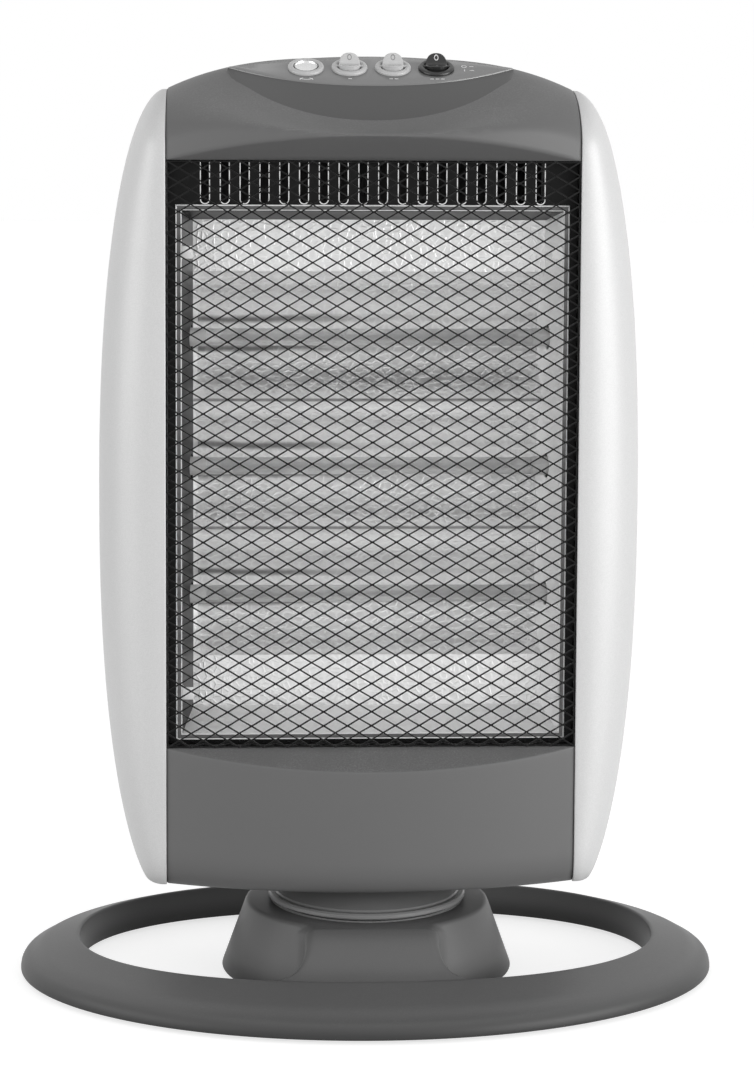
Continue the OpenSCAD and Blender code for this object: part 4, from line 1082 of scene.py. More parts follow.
def stations(low: float, high: float, radius: float, count: int, steps: int = 4) -> list[tuple[float, float]]:
    """Stations between two ends, closer together in the roundings at each end.

    Args:
        low: Lower end.
        high: Upper end.
        radius: Radius of the rounding at both ends.
        count: Number of steps between the roundings.
        steps: Number of steps in each rounding.

    Returns:
        For each station its place and how far its section is drawn in.
    """
    out = [(low + radius * (1 - cos(pi / 2 * i / steps)), radius * (1 - sin(pi / 2 * i / steps)))
        for i in range(steps)]
    for i in range(count + 1):
        out.append((low + radius + (high - low - 2 * radius) * i / count, 0.0))
    out += [(high - (p - low), e) for p, e in reversed(out[:steps])]
    return out


def rod(name: str, start: Point, end: Point, radius: float, steps: int = 48) -> Item:
    """A round bar between two points, used to cut holes or as a pin."""
    a, b = Vector(start), Vector(end)
    place = (b - a).to_track_quat("Z", "Y").to_matrix().to_4x4()
    place.translation = a
    long = (b - a).length
    rows = [[(radius * cos(2 * pi * i / steps), radius * sin(2 * pi * i / steps), z) for i in range(steps)]
        for z in (0.0, long)]
    item = loft(name, rows)
    set_in_place(item, place)
    return item


def slot_cutters(name: str, centres: Sequence[Flat], wide: float, high: float, y0: float, y1: float,
        steps: int = 8) -> Item:
    """Long round-ended cutters through a plate that stands across Y."""
    r = min(wide, high) / 2
    a, b = wide / 2 - r, high / 2 - r
    points: list[Point] = []
    faces: list[list[int]] = []
    outline = []
    for k, (sx, sz) in enumerate(((1, 1), (-1, 1), (-1, -1), (1, -1))):
        for i in range(steps + 1):
            turn = pi / 2 * (k + i / steps)
            outline.append((sx * a + r * cos(turn), sz * b + r * sin(turn)))
    n = len(outline)
    for cx, cz in centres:
        first = len(points)
        points += [(cx + x, y0, cz + z) for x, z in outline] + [(cx + x, y1, cz + z) for x, z in outline]
        faces.append([first + i for i in range(n)])
        faces.append([first + n + i for i in reversed(range(n))])
        for i in range(n):
            j = (i + 1) % n
            faces.append([first + i, first + n + i, first + n + j, first + j])
    return make_object(name, points, faces)


# ---- housings of the head


@dataclass(frozen=True)
class HeadForm:
    """Form that the housings and the side panels of the head share."""

    half_w: float = 130.0
    guard_y: float = 60.0
    bow: float = 26.0
    back: float = 52.0
    low: float = 70.3
    guard_low: float = 160.0
    guard_high: float = 532.5
    ridge_z: float = 596.0
    ridge_y: float = 6.0
    crown_drop: float = 20.0
    shoulder: float = 36.0
    upper_shelf: float = 16.5
    lower_shelf: float = 10.5
    sill: float = 22.0
    wall: float = 2.5
    frame_y: float = -48.0
    crown_power: float = 3.2
    brow_power: float = 1.4
    sill_tuck: float = 0.42

    @property
    def front(self) -> float:
        """Foremost line of the bowed housings."""
        return -self.guard_y - self.bow

    @property
    def bow_radius(self) -> float:
        """Radius of the bow as seen from above."""
        return (self.half_w ** 2 + self.bow ** 2) / (2 * self.bow)

    def bow_y(self, x: float) -> float:
        """Front of the housings at a distance from the middle."""
        return self.front + self.bow_radius - sqrt(self.bow_radius ** 2 - x * x)

    def ridge_at(self, x: float) -> float:
        """Height of the crown's ridge at a distance from the middle."""
        return self.ridge_z - self.crown_drop * (abs(x) / self.half_w) ** self.crown_power

    def height(self, x: float, y: float, t: float = 0.0) -> float:
        """Height of the top housing's front at a place seen from above, drawn in by t."""
        k = min(1.0, (x / self.half_w) ** 2)
        y0 = self.bow_y(min(abs(x), self.half_w)) + t
        v = min(1.0, max(0.0, (y - y0) / (self.ridge_y - y0)))
        top = self.ridge_at(x) - t
        z0 = (self.guard_high + self.upper_shelf - t) * (1 - k) + (top - self.shoulder + t) * k
        u = v ** self.brow_power
        rise = u * u * (3 - 2 * u) * (1 - k) + sqrt(1 - (1 - v) ** 2) * k
        return max(self.shelf(y, t), z0 + (top - z0) * rise)

    def shelf(self, y: float, t: float) -> float:
        """Height of the shelf that slopes up from the guard, drawn in by t."""
        return self.guard_high + t + max(0.0, -self.guard_y - y) * self.upper_shelf / self.bow

    def crown_section(self, x: float, t: float) -> list[Flat]:
        """Side view of the top housing at a distance from the middle, drawn in by t."""
        y0, y1 = self.bow_y(min(abs(x), self.half_w)) + t, self.back - t
        top = self.ridge_at(x) - t
        floor = self.guard_high + t
        front = [(y0, self.shelf(y0, t))]
        for i in range(41):
            y = y0 + (self.ridge_y - y0) * (i / 40) ** 1.5
            front.append((y, self.height(x, y, t)))
        for i in range(1, 17):
            a = i * pi / 32
            front.append((self.ridge_y + (y1 - self.ridge_y) * sin(a), top - (self.shoulder - t) * (1 - cos(a))))
        front.append((y1, floor))
        rear = max(-self.guard_y, y0 + 0.05)
        runs = [front, [(y1, floor), (rear, floor)], [(rear, floor), (y0, self.shelf(y0, t))]]
        edge = 2.4 if t < 1.5 else 0.0
        return soft_section(runs, [edge, 0.0, 0.0], [64, 10, 6], 6)

    def crown(self, name: str, t: float) -> Item:
        """The top housing as a block, drawn in by t."""
        across = stations(-self.half_w + t, self.half_w - t, 1.2 if t == 0 else 0.01, 56)
        return loft(name, [[(x, y, z) for y, z in self.crown_section(x, t + e)] for x, e in across])

    def lower_section(self, x: float, t: float) -> list[Flat]:
        """Side view of the lower housing at a distance from the middle, drawn in by t."""
        x = min(abs(x), self.half_w)
        centre = self.front + self.bow_radius
        top = self.guard_low - t
        slope = self.lower_shelf / (self.bow + 1)

        def face(radius: float) -> float:
            """Front of a bow of that radius."""
            return centre - sqrt(radius ** 2 - x * x)

        y_front = face(self.bow_radius - t)
        z_front = top - max(0.0, -self.guard_y - y_front) * slope
        front = [(y_front, z_front)]
        for i in range(13):
            a = -pi / 2 * i / 12
            r = self.bow_radius - t - self.sill_tuck * (self.sill - t) * (1 - cos(a))
            front.append((face(r), self.low + self.sill + (self.sill - t) * sin(a)))
        rear = self.back - t
        heel, crest = (rear, self.low + t), (max(-self.guard_y, y_front + 0.05), top)
        runs = [front, [front[-1], heel], [heel, (rear, top)], [(rear, top), crest], [crest, (y_front, z_front)]]
        edge = 1.0 if t < 1.5 else 0.0
        return soft_section(runs, [edge, 0.0, edge * 1.5, 0.0, 0.0], [36, 10, 8, 10, 5])

    def lower_block(self, name: str, t: float) -> Item:
        """The lower housing as a block, drawn in by t."""
        across = stations(-self.half_w + t, self.half_w - t, 1.2 if t == 0 else 0.01, 40)
        return loft(name, [[(x, y, z) for y, z in self.lower_section(x, t + e)] for x, e in across])


@dataclass
class ControlPod:
    """The raised lens-shaped pod on the crown, with its four round switches."""

    form: HeadForm = field(default_factory=HeadForm)
    tilt: float = 25.0
    place_y: float = -8.0
    place_z: float = 590.0
    wide: float = 182.0
    front: float = 24.3
    rear: float = 16.5
    high: float = 16.0
    reach: float = 53.0
    panel: float = 3.0
    wall: float = 2.5
    row: float = -2.0
    pitch: float = 27.7
    bezel_r: float = 11.5
    bezel_h: float = 2.4
    key_r: float = 7.4
    barrel_r: float = 9.8
    barrel_h: float = 17.0
    pivot_h: float = 1.4
    lean: float = 12.0
    key_w: float = 6.8
    rocker_end: float = 6.6
    rocker_mid: float = 2.1
    power: float = 2.3
    nose: float = 0.55
    key_power: float = 0.86
    mark_y: float = 4.3
    mark_long: float = 1.25

    @property
    def stand(self) -> Matrix:
        """Place of the pod's own flat top, in millimetres."""
        return moved(0, self.place_y, self.place_z) @ swung(self.tilt, "X")

    def seat(self, i: int, lift: float = 0.0) -> Matrix:
        """Place of switch i, on the pod's top or lifted from it."""
        return self.stand @ moved(self.key_x(i), self.row, lift)

    def key_x(self, i: int) -> float:
        """Distance of a switch from the middle."""
        return (i - 1.5) * self.pitch

    def lens(self, half: float, f: float, r: float, z: float, n: int = 64) -> list[Point]:
        """Outline of the pod's top: one arc to the front and one to the back."""
        out = [(half * u, -f * (1 - abs(u) ** self.power), z) for u in (-1 + 2 * i / n for i in range(n + 1))]
        return out + [(half * u, r * (1 - u * u), z) for u in (1 - 2 * i / n for i in range(1, n))]

    def crown_line(self, half: float, r: float, t: float, n: int = 64) -> list[Point]:
        """Line in which the pod's front wall runs out into the crown."""
        out = []
        for i in range(n + 1):
            u = -1 + 2 * i / n
            x, y, low, high = half * u, -(self.reach - t) * (1 - abs(u) ** self.power) ** self.nose, -30.0, 6.0
            for _ in range(24):
                z = (low + high) / 2
                seen = self.stand @ Vector((x, y, z))
                low, high = (low, z) if seen.z > self.form.height(seen.x, seen.y) else (z, high)
            out.append((x, y, low - 0.25 - t))
        return out + [(half * u, r * (1 - u * u), -self.high + 4) for u in (1 - 2 * i / n for i in range(1, n))]

    def body(self, name: str, t: float) -> Item:
        """The pod as a block, drawn in by t."""
        half = self.wide / 2 - 3 * t
        top = -t * self.panel / self.wall
        f, r = self.front - t, self.rear - t
        foot = self.crown_line(half + 1, r, t)
        brow = self.lens(half, f + 1, r, top - 1)
        rows = [[(x, y * 0.98, -self.high - t) for x, y, _ in foot]]
        for i in range(13):
            v = i / 12
            lift = v + 0.05 * sin(pi * v)
            rows.append([(p[0] + (q[0] - p[0]) * v, p[1] + (q[1] - p[1]) * v, p[2] + (q[2] - p[2]) * lift)
                for p, q in zip(foot, brow)])
        for a in (30, 60, 90):
            s, c = sin(radians(a)), cos(radians(a))
            rows.append(self.lens(half - 1 + c, f - 0.2 + 1.2 * c, r - 0.6 + 0.6 * c, top - 1 + s))
        item = loft(name, rows)
        set_in_place(item, self.stand)
        return item

    def opening(self) -> Item:
        """The space the pod takes in the top housing, open above it."""
        item = loft("pod_space", [self.lens(self.wide / 2 - 1, self.front, self.rear - 0.6, z) for z in (-0.5, 16.0)])
        set_in_place(item, self.stand)
        return item

    def turned(self, name: str, profile: Sequence[Flat], i: int, steps: int = 64) -> Item:
        """A round part of switch i, from its profile of radius and height."""
        return turned_about(name, profile, self.seat(i), steps)

    def shell_profile(self) -> list[Flat]:
        """Bezel, barrel and bore of a round switch."""
        b, h, k, r, deep = self.bezel_r, self.bezel_h, self.key_r + 0.5, self.barrel_r, self.barrel_h
        points = [(0, -deep), (r, -deep), (r, 0), (b, 0), (b, h - 0.9), (b - 1.1, h), (k + 0.7, h), (k, h - 0.9),
            (k, -deep + 3), (0, -deep + 3)]
        return round_profile(points, [0, 0, 0, 0.2, 0.9, 1.2, 0.6, 0.5, 0, 0])

    def switch_body(self, i: int, name: str, wears: Tone) -> None:
        """Bezel and barrel of switch i, with its terminals."""
        item = self.turned(name + "_visual", self.shell_profile(), i)
        dress(item, wears)
        parts = [item]
        for s in (-1, 1):
            tab = box_shape("terminal", (s * 4 - 0.4, -3.1, -self.barrel_h - 8), (s * 4 + 0.4, 3.1, -self.barrel_h),
                0.15)
            set_in_place(tab, self.seat(i))
            dress(tab, Tone.ZINC)
            parts.append(tab)
        joined = merge(parts, name + "_visual")
        slot = {0: "bright_bezel", 3: "black_plastic"}.get(i, "white_plastic")
        place_piece(joined, "head", slot, name)

    def rocker_top(self, y: float) -> float:
        """Height of a rocker's face at a distance from its axle."""
        lift = sqrt((y / self.key_r) ** 2 + 0.02) - sqrt(0.02)
        return self.rocker_mid + (self.rocker_end - self.rocker_mid) * lift

    def rocker(self, i: int, name: str, wears: Tone, mark: Tone) -> None:
        """Rocker i: an oval key with a shallow valley, an O above it and a line below it."""
        r, steps, rows = self.key_r, 56, []
        shares = [1.0, 1.0, 0.985, 0.94, 0.87, 0.78, 0.66, 0.52, 0.36, 0.2, 0.08]
        drops = [None, 0.9, 0.42, 0.14, 0.03, 0, 0, 0, 0, 0, 0]
        for share, fall in zip(shares, drops):
            row = []
            for j in range(steps):
                a = 2 * pi * j / steps
                x = self.key_w * share * copysign(abs(cos(a)) ** self.key_power, cos(a))
                y = r * share * copysign(abs(sin(a)) ** self.key_power, sin(a))
                row.append((x, y, -2.5 if fall is None else self.rocker_top(y) - fall))
            rows.append(row)
        key = loft("key", rows)
        dress(key, wears)
        pin = rod("pin", (-8.8, 0, 0), (8.8, 0, 0), 1.2, 24)
        dress(pin, wears)
        ring = ((1.0, -0.1), (1.0, 0.05), (1.38, 0.05), (1.38, -0.1))
        ring_rows = []
        for j in range(32):
            a = 2 * pi * j / 32
            row = [(q * cos(a), self.mark_y + self.mark_long * q * sin(a), dz) for q, dz in ring]
            ring_rows.append([(x, y, self.rocker_top(y) + dz) for x, y, dz in row])
        ring_mark = loft("ring_mark", ring_rows, loop=True)
        bar = ((-0.22, -0.1), (-0.22, 0.05), (0.22, 0.05), (0.22, -0.1))
        bar_rows = [[(x, y, self.rocker_top(y) + dz) for x, dz in bar] for y in (-5.4, -4.4, -3.4)]
        bar_mark = loft("bar_mark", bar_rows)
        for item in (ring_mark, bar_mark):
            dress(item, mark)
        joined = merge([key, pin, ring_mark, bar_mark], name + "_visual")
        set_in_place(joined, self.seat(i, self.pivot_h) @ swung(self.lean, "X"))
        place_piece(joined, name, "black_plastic" if i == 3 else "white_plastic", name, 30)

    def button(self) -> None:
        """Oscillation button: a plated cap, slightly dished."""
        r, h = self.key_r, self.bezel_h
        dish = [(r * 0.9 * cos(a), h - 1.3 - 0.7 * sin(a)) for a in (radians(d) for d in range(0, 90, 9))]
        profile = [(0, h - 2.0), (0, -self.barrel_h + 6.5), (r, -self.barrel_h + 6.5), (r, h - 0.9),
            (r - 0.1, h - 0.5), (r - 0.4, h - 0.35)] + dish
        item = self.turned("turn_button_visual", profile, 0)
        dress(item, Tone.PLATED)
        place_piece(item, "turn_button", "bright_bezel", "turn_button")

    def printed(self) -> list[Item]:
        """Plain marks printed by the switches: a curved arrow, one to three short strokes, a ring and a line."""
        out = []
        z0, z1 = -0.12, 0.04

        def strip(name: str, line: Sequence[Flat], width: float) -> None:
            """One printed stroke along a line."""
            rows = []
            for j, p in enumerate(line):
                a, b = Vector(line[max(0, j - 1)]), Vector(line[min(len(line) - 1, j + 1)])
                way = (b - a).normalized()
                side = Vector((-way.y, way.x)) * width / 2
                q = Vector(p)
                rows.append([(q.x + side.x, q.y + side.y, z0), (q.x + side.x, q.y + side.y, z1),
                    (q.x - side.x, q.y - side.y, z1), (q.x - side.x, q.y - side.y, z0)])
            item = loft(name, rows)
            set_in_place(item, self.stand)
            dress(item, Tone.PRINT)
            out.append(item)

        y = self.row - self.bezel_r - 3.4
        sweep = [(self.key_x(0) + 5.5 * cos(a), y + 3.6 + 5.0 * sin(a))
            for a in (radians(d) for d in range(225, 316, 10))]
        strip("turn_arc", sweep, 0.7)
        strip("arrow_left", [(sweep[0][0] + 1.9, sweep[0][1] + 0.5), sweep[0],
            (sweep[0][0] - 0.1, sweep[0][1] - 1.9)], 0.6)
        strip("arrow_right", [(sweep[-1][0] - 1.9, sweep[-1][1] + 0.5), sweep[-1],
            (sweep[-1][0] + 0.1, sweep[-1][1] - 1.9)], 0.6)
        for i in (1, 2, 3):
            for j in range(i):
                x = self.key_x(i) + (j - (i - 1) / 2) * 3.4
                strip(f"level_{i}_{j}", [(x - 1.1, y), (x + 1.1, y)], 0.9)
        right = self.key_x(3) + self.bezel_r + 6.5
        ring = [(right + 1.5 * cos(a), 1.6 + 1.5 * sin(a)) for a in (radians(d) for d in range(0, 361, 20))]
        strip("off_ring", ring, 0.55)
        strip("on_bar", [(right, -5.6), (right, -2.6)], 0.6)
        strip("off_tick", [(right + 3.2, 1.6), (right + 6.0, 1.6)], 0.6)
        strip("on_tick", [(right + 3.2, -4.1), (right + 6.0, -4.1)], 0.6)
        return out

    def build(self) -> None:
        """The pod, its switches, rockers and button."""
        pod = self.body("control_pod_visual", 0.0)
        cutters = [self.body("pod_inside", self.wall)]
        for i in range(4):
            hole = rod("switch_hole", (0, 0, -self.high - 1), (0, 0, 2), self.barrel_r)
            set_in_place(hole, self.seat(i))
            cutters.append(hole)
        cut(pod, cutters)
        dress(pod, Tone.POD)
        # The pod's front wall wears the darker copy: painted shade.
        pod.data.materials.append(Tone.POD_WALL.material())
        out = self.stand.inverted()
        for face in pod.data.polygons:
            at = out @ (face.center / MM)
            face.material_index = 1 if at.z < -0.9 and at.y < 0 else 0
        pod = merge([pod, *self.printed()], "control_pod_visual")
        place_piece(pod, "head", "dark_moulding", "control_pod", 42)
        self.switch_body(0, "turn_switch_body", Tone.RIM)
        self.switch_body(1, "left_switch_body", Tone.RIM)
        self.switch_body(2, "middle_switch_body", Tone.RIM)
        self.switch_body(3, "right_switch_body", Tone.BLACK)
        self.button()
        self.rocker(1, "left_rocker", Tone.WHITE, Tone.PRINT_DARK)
        self.rocker(2, "middle_rocker", Tone.WHITE, Tone.PRINT_DARK)
        self.rocker(3, "right_rocker", Tone.BLACK, Tone.PRINT)


@dataclass
class Housings:
    """The two moulded housings of the head, above and below the heating face."""

    form: HeadForm = field(default_factory=HeadForm)
    pod: ControlPod = field(default_factory=ControlPod)
    grip: tuple[Point, Point] = ((-50.0, 28.0, 538.0), (50.0, 53.0, 557.0))
    inlets: int = 6

    def top(self) -> None:
        """Top housing: a crowned shell with the pod's opening and a carry grip in its back."""
        f = self.form
        item = f.crown("top_housing_visual", 0.0)
        inside = f.crown("crown_inside", f.wall)
        low, high = self.grip
        pocket = box_shape("pocket", (low[0] - f.wall, low[1] - f.wall, low[2] - f.wall),
            (high[0] + f.wall, high[1] + 6, high[2] + f.wall))
        cut(inside, [pocket])
        cut(item, [inside], careful=True)
        opening = box_shape("foot_opening", (-f.half_w + f.wall, f.frame_y, f.guard_high - 1),
            (f.half_w - f.wall, f.back - f.wall, f.guard_high + f.wall + 1))
        grip = box_shape("grip", low, high, 2.5)
        cut(item, [opening, grip, self.pod.opening(), self.pod.body("pod_room", 0.0)])
        dress(item, Tone.HOUSING)
        place_piece(item, "head", "dark_moulding", "top_housing")

    def lower(self) -> None:
        """Lower housing: a bowed shell with a rounded sill and air inlets in its floor."""
        f = self.form
        item = f.lower_block("lower_housing_visual", 0.0)
        opening = box_shape("upper_opening", (-f.half_w + f.wall, f.frame_y, f.guard_low - f.wall - 1),
            (f.half_w - f.wall, f.back - f.wall, f.guard_low + 1))
        low, high = f.low - 1, f.low + f.wall + 1
        tools = [f.lower_block("lower_inside", f.wall), opening,
            rod("spindle_hole", (0, 0, low), (0, 0, high), 10.05),
            rod("shaft_hole", (0, SHAFT_Y, low), (0, SHAFT_Y, high), SHAFT_HOLE_R),
            rod("cord_hole", (-70, 40, f.low + 26), (-70, 60, f.low + 26), 6.55)]
        inlets = slot_cutters("inlets", [(s * (62 + i * 10), 0) for s in (-1, 1) for i in range(self.inlets)], 4, 44,
            -1 - f.wall, 1)
        set_in_place(inlets, moved(0, 0, f.low) @ swung(-90, "X"))
        tools.append(inlets)
        cut(item, tools)
        dress(item, Tone.HOUSING)
        place_piece(item, "head", "dark_moulding", "lower_housing")

    def build(self) -> None:
        """Both housings."""
        self.top()
        self.lower()


@dataclass
class SidePanels:
    """The two bulged silver shells at the sides of the head."""

    form: HeadForm = field(default_factory=HeadForm)
    bulge: float = 44.0
    lip: float = 1.5
    middle: float = 310.0
    power: float = 2.3
    reach: float = 255.0
    last: float = 86.0
    round_out: float = 0.8
    round_edge: float = 0.85
    boss: float = 5.0

    @property
    def crest(self) -> float:
        """Height of the panel's upper end."""
        top = self.form.ridge_at(self.form.half_w)
        return self.middle + (top - self.middle) * sin(radians(self.last))

    def bulge_at(self, z: float) -> float:
        """How far the panel bulges at a height."""
        reach = self.form.ridge_at(self.form.half_w) - self.middle if z > self.middle else self.reach
        return self.bulge * sqrt(max(0.0, 1 - (abs(z - self.middle) / reach) ** self.power))

    def edges(self, z: float) -> Flat:
        """Front and rear edge of the panel at a height."""
        f = self.form
        z0 = f.ridge_at(f.half_w) - f.shoulder
        k = sqrt(max(0.0, 1 - ((z - z0) / f.shoulder) ** 2)) if z > z0 else 1.0
        rest = f.low + f.sill - z
        tuck = f.sill - sqrt(max(0.0, f.sill ** 2 - rest ** 2)) if rest > 0 else 0.0
        front = f.ridge_y + (-f.guard_y - self.lip - f.ridge_y) * k + tuck * 0.35
        return front, f.ridge_y + (f.back - f.ridge_y) * k

    def section(self, z: float, t: float, inner: float) -> list[Flat]:
        """Section of the panel at a height, drawn in by t."""
        f = self.form
        w = max(0.4, self.bulge_at(z) - t)
        y0, y1 = self.edges(z)
        y0, y1 = y0 + t, y1 - t
        mid, half = (y0 + y1) / 2, max(0.4, (y1 - y0) / 2)
        skin = []
        for i in range(49):
            a = pi * i / 48
            c = cos(a)
            x = f.half_w + w * sin(a) ** self.round_out if 0 < i < 48 else f.half_w
            skin.append((x, mid - half * copysign(abs(c) ** self.round_edge, c)))
        skin = [(inner, mid - half)] + skin + [(inner, mid + half)] if inner < f.half_w else skin
        edge = 0.8 if t < 1.5 else 0.0
        return soft_section([skin, [skin[-1], skin[0]]], [edge, edge], [64, 8], 3)

    def shell(self, name: str, t: float) -> Item:
        """The right panel as a block, drawn in by t."""
        f = self.form
        inner = f.half_w - 1 if t > 0 else f.half_w
        rows = []
        span = self.crest - f.low - 2 * t
        start = -asin((self.middle - f.low) / self.reach)
        levels = []
        for i in range(73):
            a = start + (radians(self.last) - start) * i / 72
            z = self.middle + (self.reach if a < 0 else f.ridge_at(f.half_w) - self.middle) * sin(a)
            levels.append((f.low + t + (z - f.low) / (self.crest - f.low) * span, t))
        if t == 0:
            ends = [(f.low + 1.4 * (1 - cos(b)), 1.4 * (1 - sin(b))) for b in (0.0, pi / 8, pi / 4, 3 * pi / 8)]
            levels = ends + [(z, e) for z, e in levels if z > f.low + 1.5]
        for z, e in levels:
            rows.append([(x, y, z) for x, y in self.section(z, e, inner)])
        return loft(name, rows)

    def build(self) -> None:
        """Both panels, the left one mirrored."""
        f = self.form
        for side, name in ((1, "right_side_panel"), (-1, "left_side_panel")):
            item = self.shell(name + "_visual", 0.0)
            cut(item, [self.shell("panel_inside", f.wall)])
            bosses = [rod("boss", (f.half_w + 0.1, y, z), (f.half_w + self.bulge_at(z) * 0.8, y, z), self.boss, 32)
                for y in (-25.0, 25.0) for z in (105.5, 546.5)]
            item = merge([item, *bosses], name + "_visual")
            if side < 0:
                set_in_place(item, Matrix.Scale(-1, 4, (1, 0, 0)))
            dress(item, Tone.SILVER)
            place_piece(item, "head", "silver_panel", name)


# ---- heating face


@dataclass
class HeatingFace:
    """Black front frame with its vent slots, and the stretched guard net folded over it."""

    half_w: float = 130.0
    low: float = 160.3
    high: float = 532.2
    net_y: float = -60.0
    frame_y: float = -48.0
    sheet: float = 1.0
    slots: int = 18
    slot_pitch: float = 12.4
    slot_w: float = 5.7
    slot_low: float = 504.7
    slot_high: float = 536.5
    open_w: float = 120.8
    open_low: float = 166.4
    open_high: float = 501.0
    side_x: float = 127.5
    columns: int = 17
    rows: int = 41
    strand: float = 0.85
    thick: float = 0.9

    def frame(self) -> None:
        """Front frame: a folded black sheet with a window for the reflector and a row of vent slots."""
        w = self.half_w - 0.5
        y0, y1 = self.frame_y, self.frame_y + self.sheet
        item = box_shape("front_frame_visual", (-w, y0, self.low), (w, y1, self.high))
        tongue = box_shape("frame_tongue", (-self.side_x, y0, 146.0), (self.side_x, y1, 542.5))
        cut(item, [tongue], join=True)
        middle = (self.slot_low + self.slot_high) / 2
        xs = [(i - (self.slots - 1) / 2) * self.slot_pitch for i in range(self.slots)]
        window = box_shape("window", (-self.open_w, y0 - 1, self.open_low), (self.open_w, y1 + 1, self.open_high))
        slots = slot_cutters("slots", [(x, middle) for x in xs], self.slot_w, self.slot_high - self.slot_low, y0 - 1,
            y1 + 1)
        cut(item, [window, slots])
        dress(item, Tone.FRAME)
        # The lips wear bright metal as a painted highlight.
        lips = slot_tree().run("slot_lips", Tone.LIP, Count=self.slots, Pitch=self.slot_pitch * MM, Rows=1,
            Width=self.slot_w * MM, Length=(self.slot_high - self.slot_low) * MM, Lip=0.6 * MM, Draw=1.6 * MM)
        set_in_place(lips, moved(0, y1 - 0.4, middle))
        place_piece(merge([item, lips], "front_frame_visual"), "head", "black_paint", "front_frame")

    def net(self) -> None:
        """Guard net: a stretched sheet on the front, its margins folded back to the frame."""
        tree = net_tree()
        wide, high = 2 * (self.half_w - 0.6), self.high - self.low - 0.4
        deep = self.frame_y - self.net_y - 0.3
        cell, row = wide / self.columns, high / self.rows
        sizes = {"Strand": self.strand * MM, "Thickness": self.thick * MM}
        middle = (self.low + self.high) / 2
        front = tree.run("net_front", Tone.NET, Columns=self.columns, Rows=self.rows, Cell_Width=cell * MM,
            Cell_Height=row * MM, Bond=2.6 * MM, **sizes)
        set_in_place(front, moved(0, self.net_y + self.thick / 2 + 0.1, middle))
        parts = [front]
        for s in (-1, 1):
            side = tree.run("net_side", Tone.NET, Columns=1, Rows=self.rows, Cell_Width=deep * MM,
                Cell_Height=row * MM, Bond=2.2 * MM, **sizes)
            set_in_place(side, moved(s * (wide / 2 - 0.4), (self.net_y + self.frame_y) / 2, middle) @ swung(90, "Z"))
            end = tree.run("net_end", Tone.NET, Columns=self.columns, Rows=1, Cell_Width=cell * MM,
                Cell_Height=deep * MM, Bond=2.6 * MM, **sizes)
            set_in_place(end, moved(0, (self.net_y + self.frame_y) / 2, middle + s * (high / 2 - 0.5))
                @ swung(90, "X"))
            parts += [side, end]
        for s in (-1, 1):
            x, z = s * (wide / 2 - 0.3), middle + s * (high / 2 - 0.4)
            y = self.net_y + 0.6
            parts.append(rod("fold_wire", (x, y, self.low + 0.5), (x, y, self.high - 0.5), 0.45, 8))
            parts.append(rod("fold_wire", (-wide / 2, y, z), (wide / 2, y, z), 0.45, 8))
            y = self.frame_y - 0.5
            parts.append(rod("fold_wire", (x, y, self.low + 0.5), (x, y, self.high - 0.5), 0.4, 8))
            parts.append(rod("fold_wire", (-wide / 2, y, z), (wide / 2, y, z), 0.4, 8))
        place_piece(merge(parts, "guard_mesh_visual", Tone.NET), "head", "black_paint", "guard_mesh", 30)

    def build(self) -> None:
        """The frame and the net."""
        self.frame()
        self.net()


